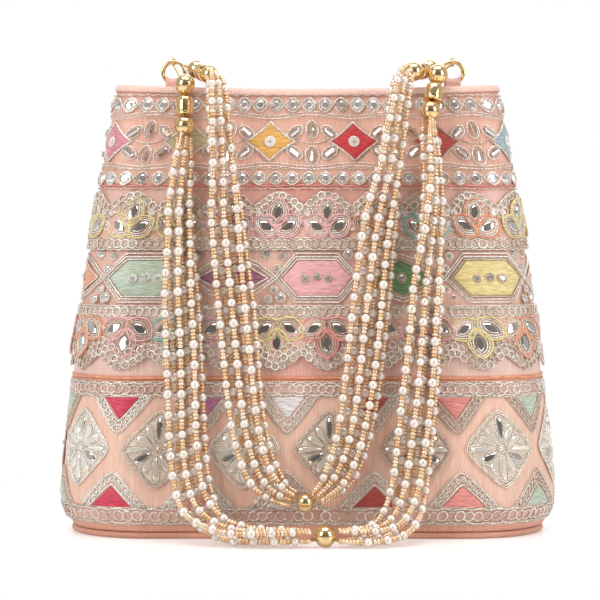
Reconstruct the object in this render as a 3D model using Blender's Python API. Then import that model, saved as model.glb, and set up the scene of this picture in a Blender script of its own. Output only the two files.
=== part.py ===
"""Potli bag: an embroidered pouch bag with two handles of bead strands.

Metres, +Z up. The origin is at the middle of the base, on the surface that the bag stands on, and
the front faces -Y. The pouch is a front and a back panel sewn at the sides, with a stiffened base,
a piped foot, a loose lining and a bound mouth. Satin tabs at the mouth grip four rings. Each
handle hangs from the tops of two rings: a link, a ball, a barrel and a cap at each end, and six
strands of beads from each cap to a gather ball at the bottom of the loop.
"""
import math

import bmesh
import bpy
import numpy as np
from mathutils import Matrix, Vector

for leftover in list(bpy.data.objects):
    bpy.data.objects.remove(leftover, do_unlink=True)

# Pouch: half sizes at the foot, at the widest height and at the mouth
BAG_HEIGHT = 0.1985
EDGE_DIP = 0.0020
FOOT_HEIGHT = 0.0031
WIDEST_HEIGHT = 0.0175
FOOT_HALF_WIDTH = 0.1056
WIDEST_HALF_WIDTH = 0.1106
TOP_HALF_WIDTH = 0.0850
SIDE_BULGE = 0.0024
FOOT_HALF_DEPTH = 0.0400
WIDEST_HALF_DEPTH = 0.0420
TOP_HALF_DEPTH = 0.0100
FACE_BULGE = 0.0020
TUCK_POWER = 2.2
CORNER_ROUNDNESS = 0.9

# Cloth, board and sewing
GAP = 0.0003
WALL = 0.0016
LINING_WALL = 0.0008
BINDING_WALL = 0.0007
BINDING_LEG = 0.0020
BASE_CLOTH = 0.0012
BOARD_THICKNESS = 0.0020
PIPING_DIAMETER = 0.0028

# Embroidery that stands proud of the panels
LACE_RISE = 0.0007
LACE_SLOPE = 0.0004
LACE_WALL = 0.0008
LACE_GAP = 0.0007
PLAQUE_RISE = 0.0008
PLAQUE_ROOT = 0.0011
STONE_LACE = (0.1837, 0.1939)
WAVE_LACE = (0.1551, 0.1649)
SEAM_LACE = (0.0623, 0.0676)
FOOT_LACE = (0.0067, 0.0133)
UPPER_SCALLOP = {"count": 20, "shift": -0.0022, "straight": 0.1262, "cusp": 0.1455, "crest": 0.1518}
LOWER_SCALLOP = {"count": 22, "shift": -0.0026, "straight": 0.1016, "cusp": 0.0800, "crest": 0.0737}
PLAQUE_ROWS = [
    {"count": 14, "shift": 0.0098, "swell": 0.0, "height": 0.0392,
     "half_width": 0.0174, "half_height": 0.0188,
     "outline": ((-1.0, 0.0), (-0.5, 0.54), (0.0, 1.0), (0.5, 0.54), (1.0, 0.0))},
    {"count": 6, "shift": 0.0044, "swell": -0.04, "height": 0.1138,
     "half_width": 0.0174, "half_height": 0.0086,
     "outline": ((-1.0, 0.0), (-0.55, 1.0), (0.0, 1.0), (0.55, 1.0), (1.0, 0.0))},
    {"count": 6, "shift": 0.0428, "swell": -0.04, "height": 0.1138,
     "half_width": 0.0168, "half_height": 0.0086,
     "outline": ((-1.0, 0.0), (-0.5, 0.5), (0.0, 1.0), (0.5, 0.5), (1.0, 0.0))},
    {"count": 11, "shift": -0.0160, "swell": 0.042, "height": 0.1740,
     "half_width": 0.0102, "half_height": 0.0081,
     "outline": ((-1.0, 0.0), (-0.5, 0.5), (0.0, 1.0), (0.5, 0.5), (1.0, 0.0))},
]

# Metalwork
TAB_HALF_WIDTH = 0.0034
TAB_CLOTH = 0.0008
TAB_BORE = 0.00125
TAB_LEG = 0.0100
RING_RADIUS = 0.00485
RING_WIRE = 0.000675
RING_CLEARANCE = 0.0017
LEFT_RING_INSET = 0.0250
RIGHT_RING_INSET = 0.0200
EYE_RADIUS = 0.00175
LINK_WIRE = 0.00055
BARREL_RADIUS = 0.00415
BARREL_LENGTH = 0.0090
FRONT_BALL_RADIUS = 0.0045
REAR_BALL_RADIUS = 0.0042
FRONT_GATHER_RADIUS = 0.00465
REAR_GATHER_RADIUS = 0.0039

# Bead strands
PEARL_DIAMETER = 0.0044
STRAND_CLEARANCE = 0.00035
STRAND_STEP = 0.0132
STRANDS_PER_SIDE = 6

# Fineness of the round shapes
CORNER_STEPS = 5
FACE_STEPS = 3
SCALLOP_STEPS = 4

LINING_OUTSIDE = WALL + GAP
LINING_INSIDE = LINING_OUTSIDE + LINING_WALL
BINDING_INSIDE = LINING_INSIDE + GAP + BINDING_WALL
TAB_REACH = TAB_BORE + TAB_CLOTH
TAB_OFFSET = TOP_HALF_DEPTH - BINDING_INSIDE - GAP - TAB_REACH
RING_FOOT = BAG_HEIGHT + RING_CLEARANCE
RING_CENTRE = RING_FOOT + RING_RADIUS
PIVOT_HEIGHT = RING_CENTRE + RING_RADIUS
LEFT_RING_X = LEFT_RING_INSET - TOP_HALF_WIDTH
RIGHT_RING_X = TOP_HALF_WIDTH - RIGHT_RING_INSET


def material(name, colour, roughness, metallic=0.0):
    """A plain Principled finish of one colour."""
    finish = bpy.data.materials.new(name)
    finish.use_nodes = True
    shader = finish.node_tree.nodes["Principled BSDF"]
    shader.inputs["Base Color"].default_value = (*colour, 1.0)
    shader.inputs["Roughness"].default_value = roughness
    shader.inputs["Metallic"].default_value = metallic
    return finish


EMBROIDERED_SATIN = material("embroidered_satin", (0.78, 0.48, 0.38), 0.6)
PLAIN_SATIN = material("plain_satin", (0.82, 0.47, 0.38), 0.4)
LINING_SATIN = material("lining_satin", (0.80, 0.58, 0.50), 0.5)
SILVER_LACE = material("silver_lace", (0.72, 0.62, 0.52), 0.45, 0.5)
GREY_BOARD = material("grey_board", (0.45, 0.44, 0.42), 0.9)
POLISHED_GOLD = material("polished_gold", (0.90, 0.68, 0.36), 0.15, 1.0)
PEARL_BEADS = material("pearl_beads", (0.90, 0.84, 0.76), 0.25)


def finish_object(name, mesh, finish, parent=None):
    """Links a mesh as an object, with its closed surface facing outwards and its rounds smooth."""
    shape = bmesh.new()
    shape.from_mesh(mesh)
    bmesh.ops.recalc_face_normals(shape, faces=shape.faces)
    shape.to_mesh(mesh)
    shape.free()
    mesh.shade_smooth()
    mesh.set_sharp_from_angle(angle=math.radians(40))
    mesh.materials.append(finish)
    piece = bpy.data.objects.new(name, mesh)
    bpy.context.scene.collection.objects.link(piece)
    piece.parent = parent
    return piece


def mesh_of(name, points, faces):
    """A mesh from corner points and faces."""
    mesh = bpy.data.meshes.new(name)
    mesh.from_pydata([tuple(point) for point in points], [], faces)
    mesh.update()
    return mesh


def hide_tool(tool):
    """Marks a shape that only takes part in a boolean."""
    tool.hide_render = True
    tool.display_type = "WIRE"


def unite(piece, tool):
    """Joins a tool's shape to a piece."""
    hide_tool(tool)
    joined = piece.modifiers.new("united", "BOOLEAN")
    joined.operation = "UNION"
    joined.solver = "EXACT"
    joined.object = tool


# The pouch's outline at each height
def swell(height, foot, widest, top, bulge):
    """A half size at a height: tucked in towards the foot, then a bulging slope to the mouth."""
    rise = min(max((height - WIDEST_HEIGHT) / (BAG_HEIGHT - WIDEST_HEIGHT), 0.0), 1.0)
    tuck = min(max((WIDEST_HEIGHT - height) / (WIDEST_HEIGHT - FOOT_HEIGHT), 0.0), 1.0)
    slope = widest + (top - widest) * rise + bulge * 4.0 * rise * (1.0 - rise)
    return slope - (widest - foot) * tuck ** TUCK_POWER


def half_width(height):
    """Half the pouch's width at a height."""
    return swell(height, FOOT_HALF_WIDTH, WIDEST_HALF_WIDTH, TOP_HALF_WIDTH, SIDE_BULGE)


def half_depth(height):
    """Half the pouch's depth at a height."""
    return swell(height, FOOT_HALF_DEPTH, WIDEST_HALF_DEPTH, TOP_HALF_DEPTH, FACE_BULGE)


def edge_height(x):
    """The mouth's edge, which dips towards the middle."""
    return BAG_HEIGHT - EDGE_DIP * (1.0 - min(abs(x) / TOP_HALF_WIDTH, 1.0) ** 2)


def half_stations():
    """Places round one half of the outline: right corner, flat face, left corner.

    Each is a share of the flat face's half width and an angle round the corner, 90 degrees on the
    face and 0 at the side seam.
    """
    corner = [math.radians(90.0 * step / CORNER_STEPS) for step in range(CORNER_STEPS)]
    right = [(1.0, angle) for angle in corner]
    face = [(1.0 - 2.0 * step / FACE_STEPS, math.pi / 2) for step in range(FACE_STEPS + 1)]
    left = [(-1.0, angle) for angle in reversed(corner)]
    return right + face + left


def station_point(station, height, inset, side):
    """The outline's point at a station, drawn in by inset, on the front (-1) or back (+1)."""
    share, angle = station
    depth = half_depth(height)
    corner = CORNER_ROUNDNESS * depth
    flat = half_width(height) - corner
    x = share * flat + math.copysign((corner - inset) * math.cos(angle), share)
    y = side * (depth - inset) * math.sin(angle)
    return x, y


def edge_point(station, inset, above, side):
    """The point at a station near the mouth's edge, raised by above and drawn in by inset."""
    height = edge_height(station_point(station, BAG_HEIGHT, 0.0, side)[0]) + above
    return (*station_point(station, height, inset, side), height)


def all_stations():
    """Each station round the whole outline with its side, -1 in front and +1 at the back."""
    front = half_stations()
    back = list(reversed(front))[1:-1]
    return [(station, -1) for station in front] + [(station, 1) for station in back]


def ring_points(height, inset):
    """The whole outline at one height as a closed row of points."""
    return [(*station_point(station, height, inset, side), height) for station, side in all_stations()]


def edge_ring(inset, above):
    """The whole outline near the mouth's edge as a closed row of points."""
    return [edge_point(station, inset, above, side) for station, side in all_stations()]


def perimeter_table(height):
    """Half of the flat face, then lengths and angles round one corner, from the face to the seam."""
    depth = half_depth(height)
    corner = CORNER_ROUNDNESS * depth
    angles = np.linspace(math.pi / 2, 0.0, 25)
    x = corner * np.cos(angles)
    y = depth * np.sin(angles)
    lengths = np.concatenate(([0.0], np.cumsum(np.hypot(np.diff(x), np.diff(y)))))
    return half_width(height) - corner, lengths, angles


def perimeter(height):
    """The length once round the pouch at a height."""
    flat, lengths, _ = perimeter_table(height)
    return 4.0 * (flat + lengths[-1])


def skin_point(turn, height, proud):
    """The point a share of a turn round from the front's middle towards +X, raised off the skin."""
    flat, lengths, angles = perimeter_table(height)
    whole = 4.0 * (flat + lengths[-1])
    turn = (turn + 0.5) % 1.0 - 0.5
    distance = abs(turn) * whole
    side = -1.0
    if abs(turn) > 0.25:
        distance = whole / 2.0 - distance
        side = 1.0
    depth = half_depth(height)
    corner = CORNER_ROUNDNESS * depth
    angle = math.pi / 2
    if distance > flat:
        angle = float(np.interp(distance - flat, lengths, angles))
    x = min(distance, flat) + corner * math.cos(angle)
    y = depth * math.sin(angle)
    lean = Vector((math.cos(angle) / corner, math.sin(angle) / depth)).normalized()
    x += lean.x * proud
    y += lean.y * proud
    return math.copysign(x, turn), side * y, height


# Builders of closed shapes from rows of points
def strips(faces, rows, closed):
    """Adds quads between rows of point numbers, round the rows too if they are closed."""
    for low, high in zip(rows, rows[1:]):
        last = len(low) if closed else len(low) - 1
        for place in range(last):
            after = (place + 1) % len(low)
            faces.append((low[place], low[after], high[after], high[place]))


def numbered(rows):
    """All rows' points in one list, and the rows again as numbers in it."""
    points = [point for row in rows for point in row]
    numbers = []
    start = 0
    for row in rows:
        numbers.append(list(range(start, start + len(row))))
        start += len(row)
    return points, numbers


def looped_solid(name, sections, finish, parent=None):
    """A closed ring of a closed section: rows join round both ways."""
    points, rows = numbered(sections)
    faces = []
    strips(faces, rows + rows[:1], True)
    return finish_object(name, mesh_of(name, points, faces), finish, parent)


def plate(name, outline, low, high, finish):
    """A flat plate of an outline between two heights."""
    rows = [[(x, y, low) for x, y, _ in outline], [(x, y, high) for x, y, _ in outline]]
    points, numbers = numbered(rows)
    faces = [tuple(numbers[0]), tuple(reversed(numbers[1]))]
    strips(faces, numbers, True)
    return finish_object(name, mesh_of(name, points, faces), finish)


# Panels, with the straight laces as ridges in them
def panel_rows():
    """Heights up the outside of a panel, each with how far its lace stands proud."""
    rows = [(FOOT_HEIGHT, 0.0)]
    for low, high in (FOOT_LACE, SEAM_LACE, WAVE_LACE, STONE_LACE):
        rows += [(low, 0.0), (low + LACE_SLOPE, LACE_RISE), (high - LACE_SLOPE, LACE_RISE), (high, 0.0)]
    plain = [WIDEST_HEIGHT, WIDEST_HEIGHT + (SEAM_LACE[0] - WIDEST_HEIGHT) / 2]
    plain += [SEAM_LACE[1] + (WAVE_LACE[0] - SEAM_LACE[1]) * third / 3 for third in (1, 2)]
    rows += [(height, 0.0) for height in plain]
    return sorted(rows) + [(None, 0.0)]


def panel(name, side):
    """One of the two cloth panels: an outer skin with laces, an inner skin and the edges between."""
    stations = half_stations()

    def row(height, inset):
        made = []
        for station in stations:
            if height is None:
                x, y, z = edge_point(station, inset, 0.0, side)
            else:
                x, y, z = (*station_point(station, height, inset, side), height)
            made.append((x, side * max(side * y, GAP / 2), z))
        return made

    outer = [row(height, -proud) for height, proud in panel_rows()]
    inner_heights = [FOOT_HEIGHT, (FOOT_HEIGHT + WIDEST_HEIGHT) / 2, WIDEST_HEIGHT]
    inner_heights += [WIDEST_HEIGHT + (BAG_HEIGHT - WIDEST_HEIGHT) * part / 3 for part in (1, 2)]
    inner = [row(height, WALL) for height in inner_heights + [None]]
    points, rows = numbered(outer + inner)
    outside = rows[:len(outer)]
    inside = rows[len(outer):]
    faces = []
    strips(faces, outside, False)
    strips(faces, inside, False)
    strips(faces, [outside[0], inside[0]], False)
    strips(faces, [outside[-1], inside[-1]], False)
    for end in (0, -1):
        faces.append([line[end] for line in outside] + [line[end] for line in reversed(inside)])
    return finish_object(name, mesh_of(name, points, faces), EMBROIDERED_SATIN)


def placed(share, row):
    """The turn at which a share of a row's round is sewn: the hand-set spacing opens and closes."""
    return share + row["swell"] * np.sin(4.0 * math.pi * share) / (4.0 * math.pi)


def plaque(points, faces, share, row, limits):
    """Adds one raised patch of embroidery, cut off where it would cross a side seam."""
    half_share = row["half_width"] / perimeter(row["height"])
    steps, heights = zip(*row["outline"])
    first = max(-1.0, (limits[0] - share) / half_share)
    last = min(1.0, (limits[1] - share) / half_share)
    if last - first < 0.3:
        return
    places = [first] + [step for step in steps if first + 0.05 < step < last - 0.05] + [last]
    columns = []
    for place in places:
        turn = placed(share + place * half_share, row)
        reach = float(np.interp(place, steps, heights)) * row["half_height"]
        levels = (row["height"] - reach, row["height"] + reach) if reach > 1e-6 else (row["height"],)
        column = []
        for proud in (-PLAQUE_ROOT, PLAQUE_RISE):
            for level in levels:
                points.append(skin_point(turn, level, proud))
                column.append(len(points) - 1)
        half = len(column) // 2
        columns.append((column[:half], column[half:]))
    for (root_a, top_a), (root_b, top_b) in zip(columns, columns[1:]):
        faces.append(tuple(root_a) + tuple(reversed(root_b)))
        faces.append(tuple(top_a) + tuple(reversed(top_b)))
        faces.append((root_a[0], top_a[0], top_b[0], root_b[0]))
        faces.append((root_a[-1], top_a[-1], top_b[-1], root_b[-1]))
    for root, top in (columns[0], columns[-1]):
        if len(root) == 2:
            faces.append((root[0], root[1], top[1], top[0]))


def plaques(name, side):
    """All the raised patches of one panel as one tool for its union."""
    middle = 0.0 if side < 0 else 0.5
    points = []
    faces = []
    for row in PLAQUE_ROWS:
        whole = perimeter(row["height"])
        seam = 0.25 - GAP / whole
        shares = np.linspace(middle - 0.5, middle + 0.5, 2001)
        limits = np.interp((middle - seam, middle + seam), placed(shares, row), shares)
        for number in range(row["count"]):
            share = number / row["count"] + row["shift"] / whole - middle
            share = (share + 0.5) % 1.0 - 0.5 + middle
            plaque(points, faces, share, row, limits)
    return finish_object(name, mesh_of(name, points, faces), SILVER_LACE)


for panel_name, panel_side in (("front_panel", -1), ("back_panel", 1)):
    cloth = panel(panel_name, panel_side)
    unite(cloth, plaques(panel_name + "_plaques", panel_side))


# Scalloped laces, each sewn once round the pouch
def scalloped_lace(name, lace):
    """A closed band with one straight edge and one edge of arches that meet in cusps."""
    whole = perimeter(lace["straight"])
    steps = lace["count"] * SCALLOP_STEPS
    sections = []
    for step in range(steps):
        turn = step / steps + lace["shift"] / whole
        arch = abs(math.sin(math.pi * step / SCALLOP_STEPS))
        free = lace["cusp"] + (lace["crest"] - lace["cusp"]) * arch
        sections.append([
            skin_point(turn, lace["straight"], LACE_GAP),
            skin_point(turn, free, LACE_GAP),
            skin_point(turn, free, LACE_GAP + LACE_WALL),
            skin_point(turn, lace["straight"], LACE_GAP + LACE_WALL),
        ])
    return looped_solid(name, sections, SILVER_LACE)


scalloped_lace("upper_scallop_lace", UPPER_SCALLOP)
scalloped_lace("lower_scallop_lace", LOWER_SCALLOP)

# Base: cloth underneath, a stiff board on it and a piped edge round it
PIPING_INSET = WALL / 2
PLATE_INSET = PIPING_INSET + PIPING_DIAMETER / 2 + GAP
BOARD_FOOT = BASE_CLOTH + GAP
BOARD_TOP = BOARD_FOOT + BOARD_THICKNESS
plate("base_panel", ring_points(FOOT_HEIGHT, PLATE_INSET), 0.0, BASE_CLOTH, PLAIN_SATIN)
plate("base_board", ring_points(FOOT_HEIGHT, PLATE_INSET), BOARD_FOOT, BOARD_TOP, GREY_BOARD)

piping_sections = []
for spoke in range(6):
    around = math.radians(60.0 * spoke)
    out = math.cos(around) * PIPING_DIAMETER / 2
    up = (1.0 + math.sin(around)) * PIPING_DIAMETER / 2
    piping_sections.append([(x, y, up) for x, y, _ in ring_points(FOOT_HEIGHT, PIPING_INSET - out)])
looped_solid("base_piping", piping_sections, PLAIN_SATIN)


# Lining: a pouch with a floor on the board, open at the mouth
def lining():
    """An outer and an inner skin with floors, joined round the mouth's edge."""
    floor = BOARD_TOP + GAP
    heights = [(floor + WIDEST_HEIGHT) / 2, WIDEST_HEIGHT]
    heights += [WIDEST_HEIGHT + (BAG_HEIGHT - WIDEST_HEIGHT) * part / 3 for part in (1, 2)]
    outside = [ring_points(height, LINING_OUTSIDE) for height in [floor] + heights]
    outside.append(edge_ring(LINING_OUTSIDE, 0.0))
    inside = [ring_points(height, LINING_INSIDE) for height in [floor + LINING_WALL] + heights]
    inside.append(edge_ring(LINING_INSIDE, 0.0))
    points, rows = numbered(outside + inside)
    outside_rows = rows[:len(outside)]
    inside_rows = rows[len(outside):]
    faces = [tuple(outside_rows[0]), tuple(inside_rows[0])]
    strips(faces, outside_rows, True)
    strips(faces, inside_rows, True)
    strips(faces, [outside_rows[-1], inside_rows[-1]], True)
    return finish_object("lining", mesh_of("lining", points, faces), LINING_SATIN)


lining()

# Binding: satin folded over the edges of the panels and the lining
binding_section = [
    (-GAP - BINDING_WALL, -BINDING_LEG),
    (-GAP - BINDING_WALL, 0.0),
    (-GAP / 2, GAP + BINDING_WALL),
    (LINING_INSIDE + GAP / 2, GAP + BINDING_WALL),
    (BINDING_INSIDE, 0.0),
    (BINDING_INSIDE, -BINDING_LEG),
    (LINING_INSIDE + GAP, -BINDING_LEG),
    (LINING_INSIDE + GAP, GAP),
    (-GAP, GAP),
    (-GAP, -BINDING_LEG),
]
looped_solid("top_binding", [edge_ring(inset, above) for inset, above in binding_section], PLAIN_SATIN)


# Tabs and rings
def tab(name, x, y):
    """A folded strap: two legs down inside the mouth and a fold that follows the ring's wire."""
    arcs = 4
    columns = 5
    sections = []
    for column in range(columns):
        across = TAB_HALF_WIDTH * (2.0 * column / (columns - 1) - 1.0)
        fold = RING_CENTRE - math.sqrt(RING_RADIUS ** 2 - across ** 2)
        foot = BAG_HEIGHT - TAB_LEG
        section = [(x + across, y + TAB_REACH, foot)]
        for step in range(arcs + 1):
            turn = math.pi * step / arcs
            section.append((x + across, y + TAB_REACH * math.cos(turn), fold + TAB_REACH * math.sin(turn)))
        section.append((x + across, y - TAB_REACH, foot))
        section.append((x + across, y - TAB_BORE, foot))
        for step in range(arcs + 1):
            turn = math.pi * (1.0 - step / arcs)
            section.append((x + across, y + TAB_BORE * math.cos(turn), fold + TAB_BORE * math.sin(turn)))
        section.append((x + across, y + TAB_BORE, foot))
        sections.append(section)
    points, rows = numbered(sections)
    faces = [tuple(rows[0]), tuple(rows[-1])]
    strips(faces, rows, True)
    return finish_object(name, mesh_of(name, points, faces), PLAIN_SATIN)


def torus(name, centre, axis, radius, wire, steps, sides, finish, parent=None):
    """A ring of round wire about an axis, with its origin at its centre."""
    turned = Vector(axis).to_track_quat("Z", "Y")
    sections = []
    for step in range(steps):
        turn = 2.0 * math.pi * step / steps
        section = []
        for place in range(sides):
            roll = 2.0 * math.pi * place / sides
            reach = radius + wire * math.cos(roll)
            section.append(turned @ Vector((reach * math.cos(turn), reach * math.sin(turn), wire * math.sin(roll))))
        sections.append(section)
    piece = looped_solid(name, sections, finish, parent)
    piece.location = Vector(centre) - (parent.location if parent else Vector((0.0, 0.0, 0.0)))
    return piece


CORNERS = {
    "front_left": (LEFT_RING_X, -TAB_OFFSET),
    "front_right": (RIGHT_RING_X, -TAB_OFFSET),
    "rear_left": (LEFT_RING_X, TAB_OFFSET),
    "rear_right": (RIGHT_RING_X, TAB_OFFSET),
}
for corner_name, (ring_x, ring_y) in CORNERS.items():
    tab("tab_" + corner_name, ring_x, ring_y)
    torus("ring_" + corner_name, (ring_x, ring_y, RING_CENTRE), (0, 1, 0), RING_RADIUS, RING_WIRE, 16, 5,
          POLISHED_GOLD)


# Handle ends: each handle swings about the line through the tops of its two rings
def pivot(name, y):
    """An empty on a handle's swing axis."""
    empty = bpy.data.objects.new(name, None)
    empty.location = (0.0, y, PIVOT_HEIGHT)
    bpy.context.scene.collection.objects.link(empty)
    return empty


PIVOTS = {
    "front": pivot("front_handle_pivot", -TAB_OFFSET),
    "rear": pivot("rear_handle_pivot", TAB_OFFSET),
}


def ball(name, centre, radius, parent):
    """A polished ball with its origin at its centre."""
    shape = bmesh.new()
    bmesh.ops.create_uvsphere(shape, u_segments=10, v_segments=6, radius=radius)
    mesh = bpy.data.meshes.new(name)
    shape.to_mesh(mesh)
    shape.free()
    piece = finish_object(name, mesh, POLISHED_GOLD, parent)
    piece.location = Vector(centre) - parent.location
    return piece


def barrel(name, top, bottom, parent):
    """A turned barrel with a domed top, midway between the ball above and the cap below."""
    half = BARREL_LENGTH / 2
    profile = [(0.0, half), (0.45 * BARREL_RADIUS, 0.93 * half), (0.84 * BARREL_RADIUS, 0.66 * half),
               (BARREL_RADIUS, 0.26 * half), (BARREL_RADIUS, -0.90 * half), (0.88 * BARREL_RADIUS, -half),
               (0.0, -half)]
    shape = bmesh.new()
    line = [shape.verts.new((radius, 0.0, height)) for radius, height in profile]
    edges = [shape.edges.new(pair) for pair in zip(line, line[1:])]
    bmesh.ops.spin(shape, geom=line + edges, cent=(0, 0, 0), axis=(0, 0, 1), angle=2 * math.pi, steps=10)
    bmesh.ops.remove_doubles(shape, verts=shape.verts, dist=1e-6)
    mesh = bpy.data.meshes.new(name)
    shape.to_mesh(mesh)
    shape.free()
    piece = finish_object(name, mesh, POLISHED_GOLD, parent)
    piece.location = (Vector(top) + Vector(bottom)) / 2 - parent.location
    piece.rotation_euler = (Vector(top) - Vector(bottom)).to_track_quat("Z", "Y").to_euler()
    return piece


def rod(name, start, end, radius, parent):
    """A plain round rod between two points."""
    direction = Vector(end) - Vector(start)
    shape = bmesh.new()
    bmesh.ops.create_cone(shape, cap_ends=True, segments=6, radius1=radius, radius2=radius,
                          depth=direction.length)
    place = Matrix.Translation((Vector(start) + Vector(end)) / 2 - parent.location)
    shape.transform(place @ direction.to_track_quat("Z", "Y").to_matrix().to_4x4())
    mesh = bpy.data.meshes.new(name)
    shape.to_mesh(mesh)
    shape.free()
    return finish_object(name, mesh, POLISHED_GOLD, parent)


def link(name, eye, ball_centre, ball_radius, leave, parent):
    """An eye round the ring's wire, with an arm that ends just short of the ball."""
    piece = torus(name, eye, (1, 0, 0), EYE_RADIUS, LINK_WIRE, 12, 5, POLISHED_GOLD, parent)
    start = Vector(eye) + EYE_RADIUS * Vector(leave).normalized()
    towards = (Vector(ball_centre) - start).normalized()
    end = Vector(ball_centre) - towards * (ball_radius + GAP)
    unite(piece, rod(name + "_arm", start, end, LINK_WIRE, parent))
    return piece


# Each ball's place from its link's eye, and the way from the ball to the cap. The front chains hang
# down the face, and the rear ones lie over the mouth.
CHAIN_PITCH_FRONT = BARREL_LENGTH + 2 * (GAP + FRONT_BALL_RADIUS)
CHAIN_PITCH_REAR = BARREL_LENGTH + 2 * (GAP + REAR_BALL_RADIUS)
CHAINS = {
    "front_left": {"ball": (0.0056, -0.01185, -0.0108), "run": (0.0, -0.0035, -0.0183)},
    "front_right": {"ball": (-0.0073, -0.00985, -0.0062), "run": (-0.0036, -0.0082, -0.0164)},
    "rear_left": {"ball": (0.0101, -EYE_RADIUS, -0.0033), "run": (0.0065, -0.0167, -0.0030)},
    "rear_right": {"ball": (-0.0101, -EYE_RADIUS, -0.0031), "run": (-0.0080, -0.0167, -0.0019)},
}
CAPS = {}
for corner_name, chain in CHAINS.items():
    handle = corner_name.split("_")[0]
    pitch = CHAIN_PITCH_FRONT if handle == "front" else CHAIN_PITCH_REAR
    radius = FRONT_BALL_RADIUS if handle == "front" else REAR_BALL_RADIUS
    ring_x, ring_y = CORNERS[corner_name]
    eye_centre = Vector((ring_x, ring_y, PIVOT_HEIGHT))
    top_ball = eye_centre + Vector(chain["ball"])
    cap = top_ball + Vector(chain["run"]).normalized() * pitch
    CAPS[corner_name] = cap
    drop = top_ball - eye_centre
    leave = (0.0, drop.y, drop.z) if handle == "front" else (0.0, -1.0, 0.0)
    link("link_" + corner_name, eye_centre, top_ball, radius, leave, PIVOTS[handle])
    ball("ball_" + corner_name, top_ball, radius, PIVOTS[handle])
    barrel("barrel_" + corner_name, top_ball, cap, PIVOTS[handle])
    ball("cap_" + corner_name, cap, radius, PIVOTS[handle])

GATHERS = {
    "front": ((0.0075, -0.0710, FRONT_GATHER_RADIUS + GAP), FRONT_GATHER_RADIUS),
    "rear": ((-0.0011, -0.0506, 0.0170), REAR_GATHER_RADIUS),
}
for handle, (gather_centre, gather_radius) in GATHERS.items():
    ball("gather_ball_" + handle, gather_centre, gather_radius, PIVOTS[handle])

# Bead strands: the middle line of each half handle, from its cap down to its gather ball. Each point
# is its share of the height from the gather ball up to the cap, then how far it lies off the
# straight line between them along X and along Y, in millimetres.
ROUTES = {
    "front_left": [
        (0.9731, -1.7, 0.5), (0.9299, -4.7, -1.0), (0.8702, -9.2, -2.1), (0.8020, -14.1, -0.8),
        (0.6882, -20.7, 2.4), (0.5632, -27.8, 5.6), (0.4409, -34.4, 8.7), (0.3187, -41.0, 11.7),
        (0.2192, -46.2, 13.9), (0.1311, -50.2, 14.6), (0.0600, -50.6, 12.9), (0.0185, -45.4, 8.5),
        (0.0026, -35.8, 3.9), (0.0003, -23.5, 1.0), (0.0003, -13.5, -0.0), (0.0003, -5.1, -0.0)],
    "front_right": [
        (0.9766, 0.2, -1.0), (0.9376, 2.2, -2.6), (0.8883, 5.3, -2.5), (0.8061, 9.9, -0.1),
        (0.7074, 13.5, 2.1), (0.6033, 17.0, 5.0), (0.4827, 20.9, 8.0), (0.3730, 24.6, 10.6),
        (0.2744, 27.5, 12.9), (0.1867, 29.8, 14.6), (0.1044, 31.4, 14.9), (0.0414, 30.9, 12.2),
        (0.0112, 27.0, 7.9), (0.0014, 20.4, 3.5), (0.0003, 12.5, 0.8), (0.0003, 5.1, -0.0)],
    "rear_left": [
        (0.9961, 1.5, -4.1), (0.9816, 2.2, -9.6), (0.9511, 1.8, -12.9), (0.9109, 0.7, -13.6),
        (0.8627, -0.8, -12.1), (0.7850, -3.0, -9.1), (0.7019, -5.4, -6.0), (0.5840, -8.2, -3.8),
        (0.4688, -10.8, -2.8), (0.3510, -13.7, -2.1), (0.2358, -16.4, -1.3), (0.1447, -17.4, -0.8),
        (0.0697, -15.7, -0.5), (0.0268, -10.8, -0.4), (0.0064, -4.3, -0.1)],
    "rear_right": [
        (0.9970, -2.0, -4.4), (0.9853, -3.9, -10.3), (0.9576, -4.1, -13.7), (0.9177, -3.4, -14.6),
        (0.8672, -2.4, -13.0), (0.7874, -0.7, -9.5), (0.7023, 0.6, -7.3), (0.6065, 2.4, -5.4),
        (0.4948, 5.6, -3.9), (0.3884, 8.6, -2.8), (0.2793, 11.5, -2.0), (0.1889, 13.3, -1.3),
        (0.1091, 13.3, -0.8), (0.0505, 10.7, -0.5), (0.0074, 4.3, -0.2)],
}

# How the six strands lie along each route: share of the way, tilt of the outward side from -Y up
# towards +Z, twist of the bundle, and how far it spreads
LAYS = {
    "front_left": [
        (0.00, 0, 40, 0.55), (0.08, 0, 38, 0.98), (0.17, 0, 27, 1.10), (0.35, 0, 5, 1.22),
        (0.60, 0, -6, 1.28), (0.70, 8, 0, 1.25), (0.82, 75, 0, 1.15), (0.92, 88, 0, 1.10),
        (1.00, 88, 0, 0.55)],
    "front_right": [
        (0.00, 0, 66, 0.55), (0.09, 0, 64, 0.98), (0.20, 0, 52, 1.12), (0.38, 0, 22, 1.30),
        (0.62, 0, 8, 1.30), (0.72, 10, 3, 1.26), (0.84, 75, 0, 1.22), (0.92, 88, 0, 1.12),
        (1.00, 88, 0, 0.55)],
    "rear_left": [
        (0.00, 46, 42, 0.55), (0.10, 26, 46, 0.98), (0.20, 0, 38, 1.10), (0.37, 0, 8, 1.20),
        (0.60, 0, -6, 1.24), (0.80, 0, 2, 1.20), (0.91, 0, 0, 1.10), (1.00, 0, 0, 0.55)],
    "rear_right": [
        (0.00, 46, 44, 0.55), (0.10, 26, 50, 0.98), (0.21, 0, 40, 1.10), (0.38, 0, 8, 1.25),
        (0.70, 0, 0, 1.32), (0.84, 0, 0, 1.18), (0.91, 0, 0, 1.10), (1.00, 0, 0, 0.55)],
}
STRAND_PITCH = PEARL_DIAMETER + STRAND_CLEARANCE
STRAND_ROW = STRAND_PITCH * math.sqrt(3.0) / 2
END_TRIM = 0.15
ROUTE_SAMPLES = 260


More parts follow.
